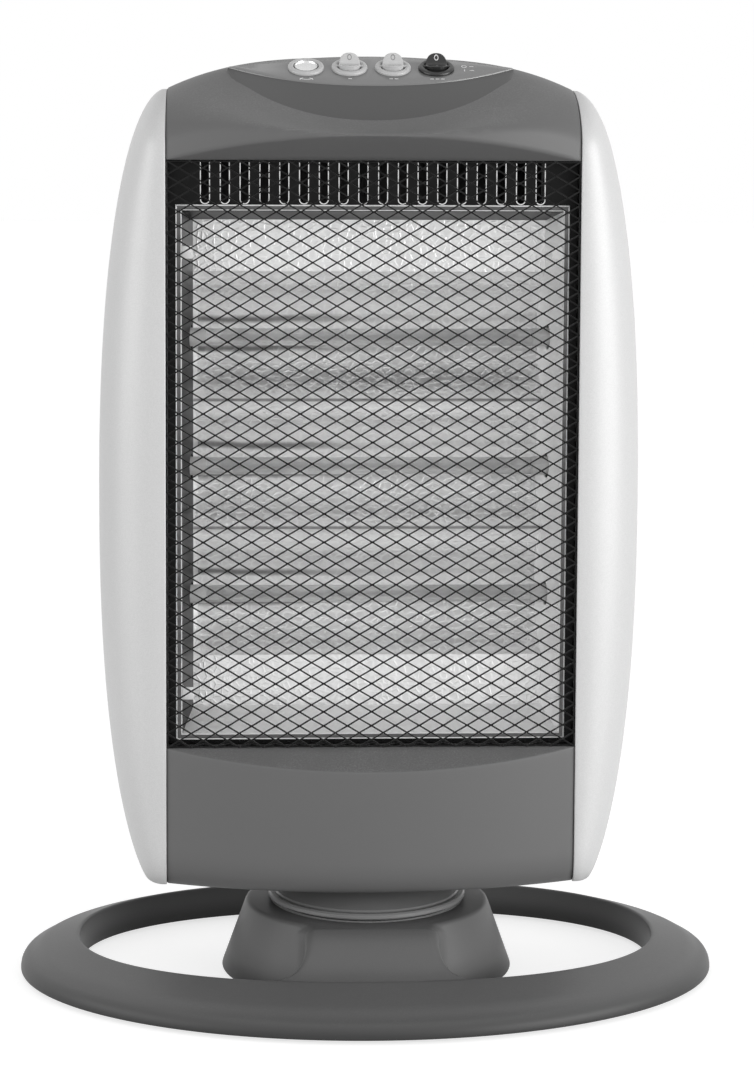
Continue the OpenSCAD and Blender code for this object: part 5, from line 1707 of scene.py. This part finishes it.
@dataclass
class Reflector:
    """Tray of bright sheet behind the lamps: three shallow troughs, sloping walls and a flat rim."""

    half_w: float = 120.0
    half_h: float = 166.5
    middle: float = 333.7
    taper: float = 6.5
    pitch: float = 83.5
    trough: float = 22.0
    slant: float = 8.0
    lip: float = 4.0
    frame_y: float = -48.0
    sheet: float = 0.8

    @property
    def rim_y(self) -> float:
        """Front of the rim."""
        return self.frame_y - self.sheet

    def wall_x(self, y: float) -> float:
        """Half the tray's width at a depth."""
        return self.half_w - self.taper * (y - self.frame_y) / -self.frame_y

    def side_line(self, per_arc: int = 24) -> list[Flat]:
        """Side view of the tray, from the foot of its rim round the troughs to the top."""
        half = self.pitch / 2
        r = (half ** 2 + self.trough ** 2) / (2 * self.trough)
        a = asin(half / r)
        out = [(self.rim_y, self.middle - self.half_h), (0.0, self.middle - self.half_h + self.slant)]
        for z in reversed(LAMP_ZS):
            turns = [-a + 2 * a * i / per_arc for i in range(per_arc + 1)]
            out += [(self.trough - r + r * cos(b), z + r * sin(b)) for b in turns]
        out += [(0.0, self.middle + self.half_h - self.slant), (self.rim_y, self.middle + self.half_h)]
        return [p for i, p in enumerate(out) if i == 0 or dist(p, out[i - 1]) > NEAR]

    def tray(self) -> None:
        """Back sheet and rim."""
        rows = [[(s * self.wall_x(max(y, self.frame_y)), y, z) for y, z in self.side_line()]
            for s in (-1.0, -0.5, 0.0, 0.5, 1.0)]
        item = loft("reflector_visual", rows, ring=False)
        if sum(face.area * face.normal.y for face in item.data.polygons) > 0:
            item.data.flip_normals()
            item.data.update()
        shell = item.modifiers.new("wall", "SOLIDIFY")
        shell.thickness, shell.offset = self.sheet * MM, -1
        shell.use_even_offset = shell.use_quality_normals = True
        settle(item)
        dress(item, Tone.MIRROR)
        item.data.materials.append(Tone.SHADED.material())
        item.data.materials.append(Tone.MIRROR_END.material())
        foot, head = self.middle - self.half_h + self.slant, self.middle + self.half_h - self.slant
        for face in item.data.polygons:
            z = face.center.z / MM
            # The top slant wears the sheet with painted shade on its front part.
            face.material_index = 2 if z < foot - 0.5 else 1 if z > head + 0.5 else 0
        rim = self.rim()
        item = merge([item, rim], "reflector_visual")
        place_piece(item, "head", "polished_sheet", "reflector", 24)

    def rim(self) -> Item:
        """Flat rim round the tray, with a rolled outer edge and a rounded inner one."""
        y, t, w = self.rim_y, self.sheet, self.lip
        section = [(0.05, y + t), (0.05, y + 0.45), (0.2, y + 0.1), (0.5, y), (0.85, y + 0.12), (1.0, y + 0.3),
            (w - 1.0, y + 0.3), (w - 0.85, y + 0.12), (w - 0.5, y), (w - 0.15, y + 0.1), (w, y + 0.45), (w, y + t)]
        rows = []
        for sx, sz in ((1, 1), (-1, 1), (-1, -1), (1, -1)):
            rows.append([(sx * (self.half_w + o), q, self.middle + sz * (self.half_h + o)) for o, q in section])
        item = loft("rim", rows, loop=True)
        dress(item, Tone.MIRROR_END)
        item.data.materials.append(Tone.FLANGE.material())
        for face in item.data.polygons:
            out = max(abs(face.center.x / MM) - self.half_w, abs(face.center.z / MM - self.middle) - self.half_h)
            # The flat between the rounded edges wears the dark copy: painted reflection.
            face.material_index = 1 if 0.9 < out < w - 0.9 else 0
        return item

    def end(self, s: int, name: str) -> None:
        """End wall of the tray, with clearance holes for the lamps."""
        line = [(max(y, self.frame_y), z) for y, z in self.side_line(14)]
        rows = [[(s * (self.wall_x(y) + e), y, z) for y, z in line] for e in (0.02, self.sheet)]
        item = loft(name + "_visual", rows)
        holes = [rod("lamp_hole", (s * 100, -8, z), (s * 130, -8, z), 8.0) for z in LAMP_ZS]
        cut(item, holes)
        # The left end wears the sheet with painted shade on its front part.
        dress(item, Tone.MIRROR_END if s > 0 else Tone.SHADED)
        place_piece(item, "head", "polished_sheet", name, 30)

    def tabs(self) -> None:
        """Four bright clips that hold the ends of the tray to its rim."""
        parts = []
        for sx in (-1, 1):
            for sz in (-1, 1):
                z = self.middle + sz * (self.half_h - 26)
                x = sx * self.half_w
                face = box_shape("clip_face", (min(x, x - sx * 7), self.rim_y - 0.1, z - 4),
                    (max(x, x - sx * 7), self.rim_y + 0.7, z + 4), 0.25)
                leg = box_shape("clip_leg", (min(x, x - sx * 0.8), self.rim_y, z - 4),
                    (max(x, x - sx * 0.8), self.rim_y + 7, z + 4), 0.25)
                parts += [face, leg]
        tabs = merge(parts, "reflector_tabs_visual", Tone.MIRROR_END)
        place_piece(tabs, "head", "polished_sheet", "reflector_tabs")

    def build(self) -> None:
        """The tray, its two ends and its clips."""
        self.tray()
        self.end(-1, "left_reflector_end")
        self.end(1, "right_reflector_end")
        self.tabs()


@dataclass
class Lamps:
    """Three quartz lamps across the tray: tube, wound wire and two ceramic caps each."""

    y: float = -8.0
    long: float = 242.0
    tube_r: float = 5.5
    cap_r: float = 6.0
    cap_l: float = 16.0
    glass_half: float = 109.0
    turns: float = 92.0

    def lamp(self, name: str, z: float) -> None:
        """One lamp at a height."""
        place = moved(0, self.y, z) @ swung(90, "Y")
        g, r = self.glass_half, self.tube_r - 0.02
        outline = [(0.9, -g), (r - 1.2, -g), (r, -g + 1.6), (r, g - 1.6), (r - 1.2, g), (0.9, g), (r - 1.0, g - 2.2),
            (r - 1.0, -g + 2.2)]
        tube = turned_about(name + "_glass_visual", outline, place, 40)
        dress(tube, Tone.QUARTZ)
        place_piece(tube, "head", "quartz", name + "_glass")
        coil = coil_tree().run(name + "_filament_visual", Tone.TUNGSTEN, Length=2 * (g - 14) * MM, Turns=self.turns,
            Coil_Radius=1.9 * MM, Wire_Radius=0.34 * MM, Tail=17.5 * MM)
        set_in_place(coil, moved(0, self.y, z))
        place_piece(coil, "head", "heating_wire", name + "_filament")
        half, c, deep = self.long / 2, self.cap_r, self.cap_l
        caps = []
        for s in (-1, 1):
            profile = round_profile([(self.tube_r, half - deep), (c, half - deep), (c, half - 5),
                (c - 0.5, half - 4.4), (c - 0.5, half - 3.6), (c, half - 3), (c, half), (0.9, half), (0.9, g + 0.1),
                (self.tube_r, g + 0.1)], [0, 0.15, 0.2, 0.2, 0.2, 0.2, 0.5, 0, 0, 0])
            caps.append(turned_about("cap", profile, moved(0, self.y, z) @ swung(90 * s, "Y"), 40))
        place_piece(merge(caps, name + "_caps_visual", Tone.CERAMIC), "head", "lamp_ceramic", name + "_caps")

    def build(self) -> None:
        """The upper, middle and lower lamp."""
        for name, z in zip(("upper_lamp", "middle_lamp", "lower_lamp"), LAMP_ZS):
            self.lamp(name, z)


@dataclass
class Rear:
    """Back of the head: the cover with its drawn louvres, and its screws."""

    half_w: float = 130.0
    back: float = 52.0
    wall: float = 2.5
    low: float = 160.0
    high: float = 532.5
    louvre_w: float = 56.0
    louvre_h: float = 4.5
    louvre_pitch: float = 11.0
    column_pitch: float = 66.0
    starts: tuple[float, float] = (200.0, 437.5)
    screw_x: float = 121.5
    screw_zs: tuple[float, float, float] = (180.0, 346.25, 512.5)

    def cover(self) -> None:
        """Rear cover: a flat plate with two blocks of louvres and a pressed panel between them."""
        y0, y1 = self.back - self.wall, self.back
        item = box_shape("rear_cover_visual", (-self.half_w + 0.15, y0, self.low + 0.15),
            (self.half_w - 0.15, y1, self.high - 0.15), 0.8)
        centres = [(x * self.column_pitch, z0 + i * self.louvre_pitch) for z0 in self.starts for i in range(6)
            for x in (-1, 0, 1)]
        holes = [(s * self.screw_x, z) for s in (-1, 1) for z in self.screw_zs]
        tools = [slot_cutters("louvres", centres, self.louvre_w, self.louvre_h, y0 - 1, y1 + 1),
            slot_cutters("screw_holes", holes, 3.8, 3.8, y0 - 1, y1 + 1),
            box_shape("pressed_panel", (-98, y1 - 0.8, 275), (98, y1 + 1, 417), 0.5)]
        cut(item, tools)
        dress(item, Tone.REAR)
        parts = [item]
        for z0 in self.starts:
            lips = slot_tree().run("louvre_lips", Tone.REAR, Count=3, Pitch=self.column_pitch * MM, Rows=6,
                Row_Pitch=self.louvre_pitch * MM, Width=self.louvre_w * MM, Length=self.louvre_h * MM, Lip=0.9 * MM,
                Draw=2.4 * MM)
            set_in_place(lips, moved(0, y1 - 1.2, z0 + 2.5 * self.louvre_pitch))
            parts.append(lips)
        place_piece(merge(parts, "rear_cover_visual"), "head", "rear_paint", "rear_cover")

    def screws(self) -> None:
        """Six pan-head screws with a cross recess."""
        points = [(s * self.screw_x, self.back, z) for s in (-1, 1) for z in self.screw_zs]
        item = screw_set("rear_cover_screws_visual", points, 6.4, swung(-90, "X"))
        place_piece(item, "head", "fixings", "rear_cover_screws")

    def build(self) -> None:
        """The cover and its screws."""
        self.cover()
        self.screws()


def screw_set(name: str, points: Sequence[Point], long: float, stand: Matrix) -> Item:
    """The same pan-head screw at several places.

    Args:
        name: Name of the joined piece.
        points: Where the underside of each head sits, in millimetres.
        long: Length of the shank.
        stand: Turns a screw whose head looks up into the way that these look.

    Returns:
        All of the screws as one mesh.
    """
    profile = [(0, -long), (1.5, -long), (1.9, -long + 0.8), (1.9, 0), (3.7, 0), (3.7, 0.5), (3.3, 1.2), (2.4, 1.6),
        (1.2, 1.78), (0, 1.8)]
    master = revolve("screw_master", profile, 28)
    recess = [box_shape("recess", (-2.0, -0.35, 0.7), (2.0, 0.35, 3.0)),
        box_shape("recess", (-0.35, -2.0, 0.7), (0.35, 2.0, 3.0))]
    cut(master, recess)
    set_in_place(master, stand)
    carrier = make_object(name, points, [])
    made = scatter_tree().run(name, Tone.ZINC, carrier, Part=master)
    drop(master)
    dress(made, Tone.ZINC)
    return made


# ---- stand


@dataclass
class Stand:
    """Oval ring base with its pedestal and two bridges, and the disc that the head turns on."""

    ring_w: float = 453.0
    ring_d: float = 332.0
    hole_w: float = 376.0
    hole_d: float = 236.0
    shift: float = 5.0
    ring_h: float = 24.0
    rim_h: float = 11.5
    foot_h: float = 2.5
    top_z: float = 47.0
    top_r: float = 79.0
    foot_r: float = 95.0
    wall: float = 3.0
    waist: float = 88.0
    scoop: float = 16.0
    spread: float = 7.0
    flare: float = 47.0
    disc_r: float = 64.5
    neck_r: float = 36.0
    dome_z: float = 63.0
    head_z: float = 71.5
    well_r: float = 58.0
    web_z: float = 27.0
    boss_r: float = 17.05
    bush_r: float = 13.05
    bush_z: float = 19.0
    screw_r: float = 70.0
    power: float = 2.25
    swell: float = 0.45
    slope: float = 0.24
    feet: tuple[int, ...] = (38, 142, 218, 322)

    def ring_point(self, a: float, s: float, z: float) -> Point:
        """A point of the ring at an angle, from its inner edge, s = 0, to its outer edge, s = 1."""
        c, d, e = cos(a), sin(a), 2 / self.power
        px = self.hole_w / 2 * copysign(abs(c) ** e, c)
        py = self.shift + self.hole_d / 2 * copysign(abs(d) ** e, d)
        return px + (self.ring_w / 2 * c - px) * s, py + (self.ring_d / 2 * d - py) * s, z

    def foot_places(self) -> list[Point]:
        """Where the four feet stand."""
        return [self.ring_point(radians(a), 0.5, 0) for a in self.feet]

    def screw_places(self) -> list[Point]:
        """Where the four screws of the base cover sit."""
        return [(self.screw_r * cos(a), self.screw_r * sin(a), self.foot_h) for a in map(radians, (45, 135, 225, 315))]

    def ring_section(self) -> list[Flat]:
        """Section of the ring's open channel: shares of its width, times 40, and heights."""
        k, h, r = 40.0, self.ring_h, self.rim_h
        top = flowing([(0.0, h), (0.05 * k, h - 0.35), (0.25 * k, h - 2.6), (0.45 * k, h * 0.46 + r * 0.54 + 2),
            (0.66 * k, 16.9), (0.82 * k, r + 2.2), (0.92 * k, r + 0.1), (0.98 * k, r - 3.2), (k, r - 6.9)], 5)
        under = [(0.93 * k, self.foot_h), (0.93 * k, r - 5.4), (0.84 * k, r - 1.6), (0.45 * k, (h + r) / 2 - 3),
            (0.08 * k, h - 5), (0.08 * k, self.foot_h)]
        runs = [[(0.0, self.foot_h), (0.0, h)], top, [(k, r - 6.9), (k, self.foot_h)], [(k, self.foot_h), under[0]],
            under, [under[-1], (0.0, self.foot_h)]]
        return [(s / k, z) for s, z in soft_section(runs, [0.5, 2.2, 0.0, 0.9, 0.0, 0.0], [6, 30, 3, 1, 12, 1])]

    def ring(self, steps: int = 200) -> Item:
        """The ring."""
        section = self.ring_section()
        return loft("base_stand_visual", [[self.ring_point(2 * pi * i / steps, s, z) for s, z in section]
            for i in range(steps)], loop=True)

    def pedestal(self) -> Item:
        """The flared pedestal: its skin, the web under the disc and the boss of the spindle, turned in one."""
        z0, top, web, w = self.foot_h, self.top_z, self.web_z, self.wall
        lean = (self.foot_r - self.top_r) / (top - z0)
        inner = self.foot_r - w - lean * (web - w - z0)
        outline = [(self.foot_r - w, z0), (self.foot_r, z0), (self.top_r, top), (self.well_r + 5, top),
            (self.well_r + 5, top - 2), (self.well_r + 2, top - 2), (self.well_r + 2, top), (self.well_r, top),
            (self.well_r, web), (self.boss_r, web), (self.boss_r, top - 6), (self.bush_r, top - 6),
            (self.bush_r, self.bush_z), (self.boss_r, self.bush_z), (self.boss_r, web - w), (inner, web - w)]
        radii = [0, 0.8, 2.6, 0.2, 0, 0, 0.2, 0.4, 0, 0, 0.5, 0, 0, 0, 0, 0]
        return revolve("pedestal", round_profile(outline, radii), 120)

    def bridge_half(self, y: float, z: float, edge: float) -> float:
        """Half the bridge's width at a distance from the middle and a height: a round hollow, then a spread."""
        side = self.top_r + (self.foot_r - self.top_r) * (self.top_z - z) / (self.top_z - self.foot_h)
        half, r = self.waist / 2 - 1.5, self.scoop
        middle = sqrt(max(0.0, (side + r) ** 2 - (half + r) ** 2))
        touch = middle * side / (side + r)
        if y < touch:
            return sqrt(side ** 2 - y * y) - 0.4 * min(1.0, (touch - y) / 4)
        if y < middle:
            return half + r - sqrt(max(0.0, r ** 2 - (middle - y) ** 2))
        share = min(1.0, (y - self.top_r - self.spread) / (edge + 0.5 - self.top_r - self.spread))
        return min(self.top_r - 1, half + self.flare * (1 - sqrt(1 - max(0.0, share) ** 2)))

    def bridge_top(self, x: float, y: float, s: int) -> float:
        """Height of bridge s over the floor: level at the pedestal, at the ring's own height along its edge."""
        curve = (1 - (abs(x) / self.hole_w * 2) ** self.power) ** (1 / self.power)
        edge, start = s * self.shift + self.hole_d / 2 * curve, self.top_r - 1
        u = min(1.0, max(0.0, (y - start) / (edge - start)))
        fall = (self.top_z - self.ring_h + 0.4) * (u - self.swell * sin(2 * pi * u) / 2 / pi)
        return self.top_z - 0.02 - fall - self.slope * max(0.0, y - edge)

    def bridge(self, s: int, t: float) -> Item:
        """Bridge from the pedestal out to the ring, waisted by two round scoops; s is -1 at the front."""
        edge = self.hole_d / 2 + s * self.shift
        far = edge - 4 if t > 0 else edge + 22
        start = self.top_r - (31 if t == 0 else -3)
        r, low = 7.0 if t == 0 else 2.0, self.foot_h + (1 if t == 0 else -1)
        rows = []
        for i in range(81):
            y = start + (far - start) * i / 80
            top = self.bridge_top(0, y, s) - t
            k = min(r, (top - low) * 0.4)
            heights = [low + (top - k - low) * j / 9 for j in range(9)]
            line = [(self.bridge_half(y, z, edge) - t, z) for z in heights]
            for j in range(9):
                a = pi / 2 * j / 8
                z = top - k * (1 - sin(a))
                line.append((self.bridge_half(y, z, edge) - t - k * (1 - cos(a)), z))
            line += [(line[-1][0] * (1 - j / 6), top) for j in range(1, 6)]
            line += [(0.0, top)] + [(-x, z) for x, z in reversed(line)]
            rows.append([(x, s * y, low + (z - low) * (self.bridge_top(x, y, s) - t - low) / (top - low))
                for x, z in line])
        item = loft("bridge", rows)
        if t == 0:
            cut(item, [rod("disc_room", (0, 0, -1), (0, 0, 60), self.well_r + 8, 120)])
        return item

    def body(self) -> None:
        """Ring, pedestal and bridges as one hollow moulding, open below."""
        item = self.ring()
        cut(item, [self.pedestal(), self.bridge(-1, 0), self.bridge(1, 0)], join=True)
        cut(item, [self.bridge(-1, self.wall), self.bridge(1, self.wall)])
        pads = []
        for x, y, _ in self.foot_places():
            pads.append(rod("foot_boss", (x, y, self.foot_h), (x, y, self.foot_h + self.rim_h + 1), 9.0, 32))
        for x, y, _ in self.screw_places():
            pads.append(rod("screw_boss", (x, y, self.foot_h + self.wall), (x, y, self.web_z - self.wall), 5.0, 24))
        place_piece(merge([item, *pads], "base_stand_visual", Tone.STAND), "base", "dark_moulding", "base_stand", 34)

    def disc(self) -> None:
        """Swivel disc: a stepped rim under a shallow dome and a short neck."""
        z, r, n, dome, top = self.top_z + 0.3, self.disc_r, self.neck_r, self.dome_z, self.head_z
        skin = [(r - 5.4, z), (r - 5.0, z + 1.7), (r - 0.4, z + 1.9), (r, z + 2.4), (r, z + 4.4), (r - 0.9, z + 5.4),
            (r - 3.0, z + 5.6), (r - 3.6, z + 5.2), (r - 4.2, z + 5.6)]
        dome_line = flowing([(r - 4.8, z + 6.6), (54, dome - 6.4), (48, dome - 3.6), (42, dome - 1.4),
            (n + 1.5, dome - 0.1)], 6)
        outline = skin + dome_line + [(n, dome + 1.2), (n, top), (10.1, top), (10.1, top - 3), (n - 3, top - 3),
            (n - 3, dome - 3), (42, dome - 4.4), (48, dome - 6.6), (54, dome - 9.4), (self.well_r, z + 3),
            (self.well_r, z)]
        item = revolve("swivel_disc_visual", outline, 128)
        cut(item, [rod("shaft_hole", (0, SHAFT_Y, top - 4), (0, SHAFT_Y, top + 1), SHAFT_HOLE_R, 32)])
        dress(item, Tone.DISC)
        place_piece(item, "head", "dark_moulding", "swivel_disc", 30)

    def underside(self) -> None:
        """Rubber feet with a ribbed sole, and the screws of the base cover."""
        feet = []
        for x, y, _ in self.foot_places():
            sole = round_profile([(0, 0), (7.0, 0), (7.0, self.foot_h), (3.0, self.foot_h), (3.0, self.foot_h + 5),
                (0, self.foot_h + 5)], [0, 0.7, 0.3, 0, 0.5, 0])
            foot = revolve("foot", sole, 40, (x, y))
            rings = [revolve("groove", [(q, -0.5), (q + 0.7, -0.5), (q + 0.7, 0.5), (q, 0.5)], 32, (x, y))
                for q in (2.0, 4.2)]
            cut(foot, rings)
            feet.append(foot)
        place_piece(merge(feet, "rubber_feet_visual", Tone.RUBBER), "base", "rubber", "rubber_feet")
        screws = screw_set("base_cover_screws_visual", self.screw_places(), 14.0, swung(180, "X"))
        place_piece(screws, "base", "fixings", "base_cover_screws")

    def build(self) -> None:
        """The stand and the disc."""
        self.body()
        self.disc()
        self.underside()


# ---- hidden works


class Works:
    """Parts inside the heater whose packed form is already right; they only get their finish."""

    finishes: dict[str, Tone] = {"base_cover": Tone.REAR, "pivot_bush": Tone.BUFF, "slide_ring": Tone.WHITE,
        "drive_plate": Tone.SHEET, "tip_switch": Tone.BLACK, "tip_plunger": Tone.TINTED, "pivot_spindle": Tone.STEEL,
        "spindle_washer": Tone.STEEL, "spindle_nut": Tone.ZINC, "side_panel_screws": Tone.ZINC,
        "left_side_plate": Tone.SHEET, "right_side_plate": Tone.SHEET, "heat_shield": Tone.SHEET,
        "left_lamp_holders": Tone.CERAMIC, "right_lamp_holders": Tone.CERAMIC, "osc_motor": Tone.SHEET,
        "motor_shaft": Tone.STEEL, "crank": Tone.WHITE, "crank_roller": Tone.BUFF, "terminal_block": Tone.BUFF,
        "thermal_cutout": Tone.BLACK, "wiring_loom": Tone.LOOM, "cord_gland": Tone.BLACK}

    def build(self, nodes: dict[str, Item]) -> None:
        """Puts each hidden part's finish on it.

        Args:
            nodes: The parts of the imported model, by name.
        """
        for name, wears in self.finishes.items():
            for slot in nodes[name].material_slots:
                slot.material = wears.material()
            if not nodes[name].material_slots:
                nodes[name].data.materials.append(wears.material())
            LOG.info("%s: finish %s", name, wears.value.name)


# ---- studio


@dataclass
class Studio:
    """Pale floor, soft lamps and the camera of a catalogue picture."""

    camera_place: Point = (-87.24, -1998.1, 600.0)
    look: Point = (0.04338, 0.99357, -0.10453)
    lens: float = 103.61
    shift_y: float = -0.1498
    aim_right: float = 0.203
    roll: float = 0.3
    shift_x: float = -0.0027
    world: float = 0.5

    def camera(self) -> None:
        """Camera at the photograph's viewing angle."""
        data = bpy.data.cameras.new("camera")
        data.sensor_fit = "VERTICAL"
        data.sensor_height = 36.0
        data.lens = self.lens
        data.shift_x, data.shift_y = self.shift_x, self.shift_y
        data.clip_end = 50.0
        item = new_item("camera", data)
        item.location = [v * MM for v in self.camera_place]
        way = Matrix.Rotation(radians(-self.aim_right), 3, "Z") @ Vector(self.look)
        turn = way.to_track_quat("-Z", "Y") @ Quaternion((0, 0, 1), radians(self.roll))
        item.rotation_euler = turn.to_euler()
        bpy.context.scene.camera = item

    def background(self) -> None:
        """White world: plain white to the eye and in gloss, softer as light."""
        world = bpy.data.worlds.new("studio")
        bpy.context.scene.world = world
        t = emptied(world)
        path = t.node("ShaderNodeLightPath")
        seen = t.math("MAXIMUM", path.outputs["Is Camera Ray"], path.outputs["Is Transmission Ray"])
        level = t.math("MAXIMUM", t.math("MAXIMUM", seen, path.outputs["Is Glossy Ray"]), self.world)
        sky = t.node("ShaderNodeBackground", {"Color": (1.0, 1.0, 1.0), "Strength": level})
        t.node("ShaderNodeOutputWorld", {0: sky.outputs[0]})

    def floor(self) -> None:
        """Pale floor that shows white where no shadow lies on it."""
        item = make_object("floor", [(-6000, -3000, 0), (6000, -3000, 0), (6000, 9000, 0), (-6000, 9000, 0)],
            [(0, 1, 2, 3)])
        if item.data.polygons[0].normal.z < 0:
            item.data.flip_normals()
        material = bpy.data.materials.new("pale_floor")
        t = emptied(material)
        shader = t.node("ShaderNodeBsdfPrincipled", {"Roughness": 0.7, "Specular IOR Level": 0.1})
        place = t.node("ShaderNodeTexCoord").outputs["Object"]
        cloud = t.noise(place, 3.0, 2.0, 0.5)
        t.feed(shader.inputs["Base Color"], t.blend(cloud, (0.47, 0.47, 0.47), (0.49, 0.49, 0.49)))
        path = t.node("ShaderNodeLightPath").outputs
        seen = t.math("MAXIMUM", t.math("MAXIMUM", path["Is Camera Ray"], path["Is Glossy Ray"]),
            path["Is Transmission Ray"])
        lift = t.times(seen, 0.72)
        shader.inputs["Emission Color"].default_value = (1, 1, 1, 1)
        t.feed(shader.inputs["Emission Strength"], lift)
        t.node("ShaderNodeOutputMaterial", {0: shader.outputs[0]})
        item.data.materials.append(material)

    def lamp(self, name: str, place: Point, aim: Point, size: Flat, power: float) -> None:
        """One soft square lamp.

        Args:
            name: Name of the lamp.
            place: Where it hangs, in millimetres.
            aim: The point that it looks at, in millimetres.
            size: Its width and height in millimetres.
            power: Its power in watts.
        """
        data = bpy.data.lights.new(name, "AREA")
        data.shape = "RECTANGLE"
        data.size, data.size_y = size[0] * MM, size[1] * MM
        data.energy = power
        item = new_item(name, data)
        item.location = [v * MM for v in place]
        item.rotation_euler = (Vector(aim) - Vector(place)).to_track_quat("-Z", "Y").to_euler()

    def build(self) -> None:
        """Camera, background, floor and lamps."""
        self.camera()
        self.background()
        self.floor()
        self.lamp("key", (2100, -1500, 560), (0, 0, 330), (2200, 1300), 56)
        self.lamp("fill", (-2200, -1000, 500), (0, 0, 300), (2200, 1300), 28)
        self.lamp("overhead", (0, -200, 2300), (0, 0, 300), (1600, 1600), 2)
        bpy.context.scene.view_settings.view_transform = "Standard"


def main() -> None:
    """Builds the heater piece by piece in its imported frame."""
    logging.basicConfig(level=logging.INFO, format="%(name)s: %(message)s")
    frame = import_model()
    Studio().build()
    for part in (Stand(), Housings(), SidePanels(), ControlPod(), HeatingFace(), Reflector(), Lamps(), Rear()):
        LOG.info("building %s", type(part).__name__)
        part.build()
    Works().build(frame["nodes"])


if __name__ == "__main__":
    main()
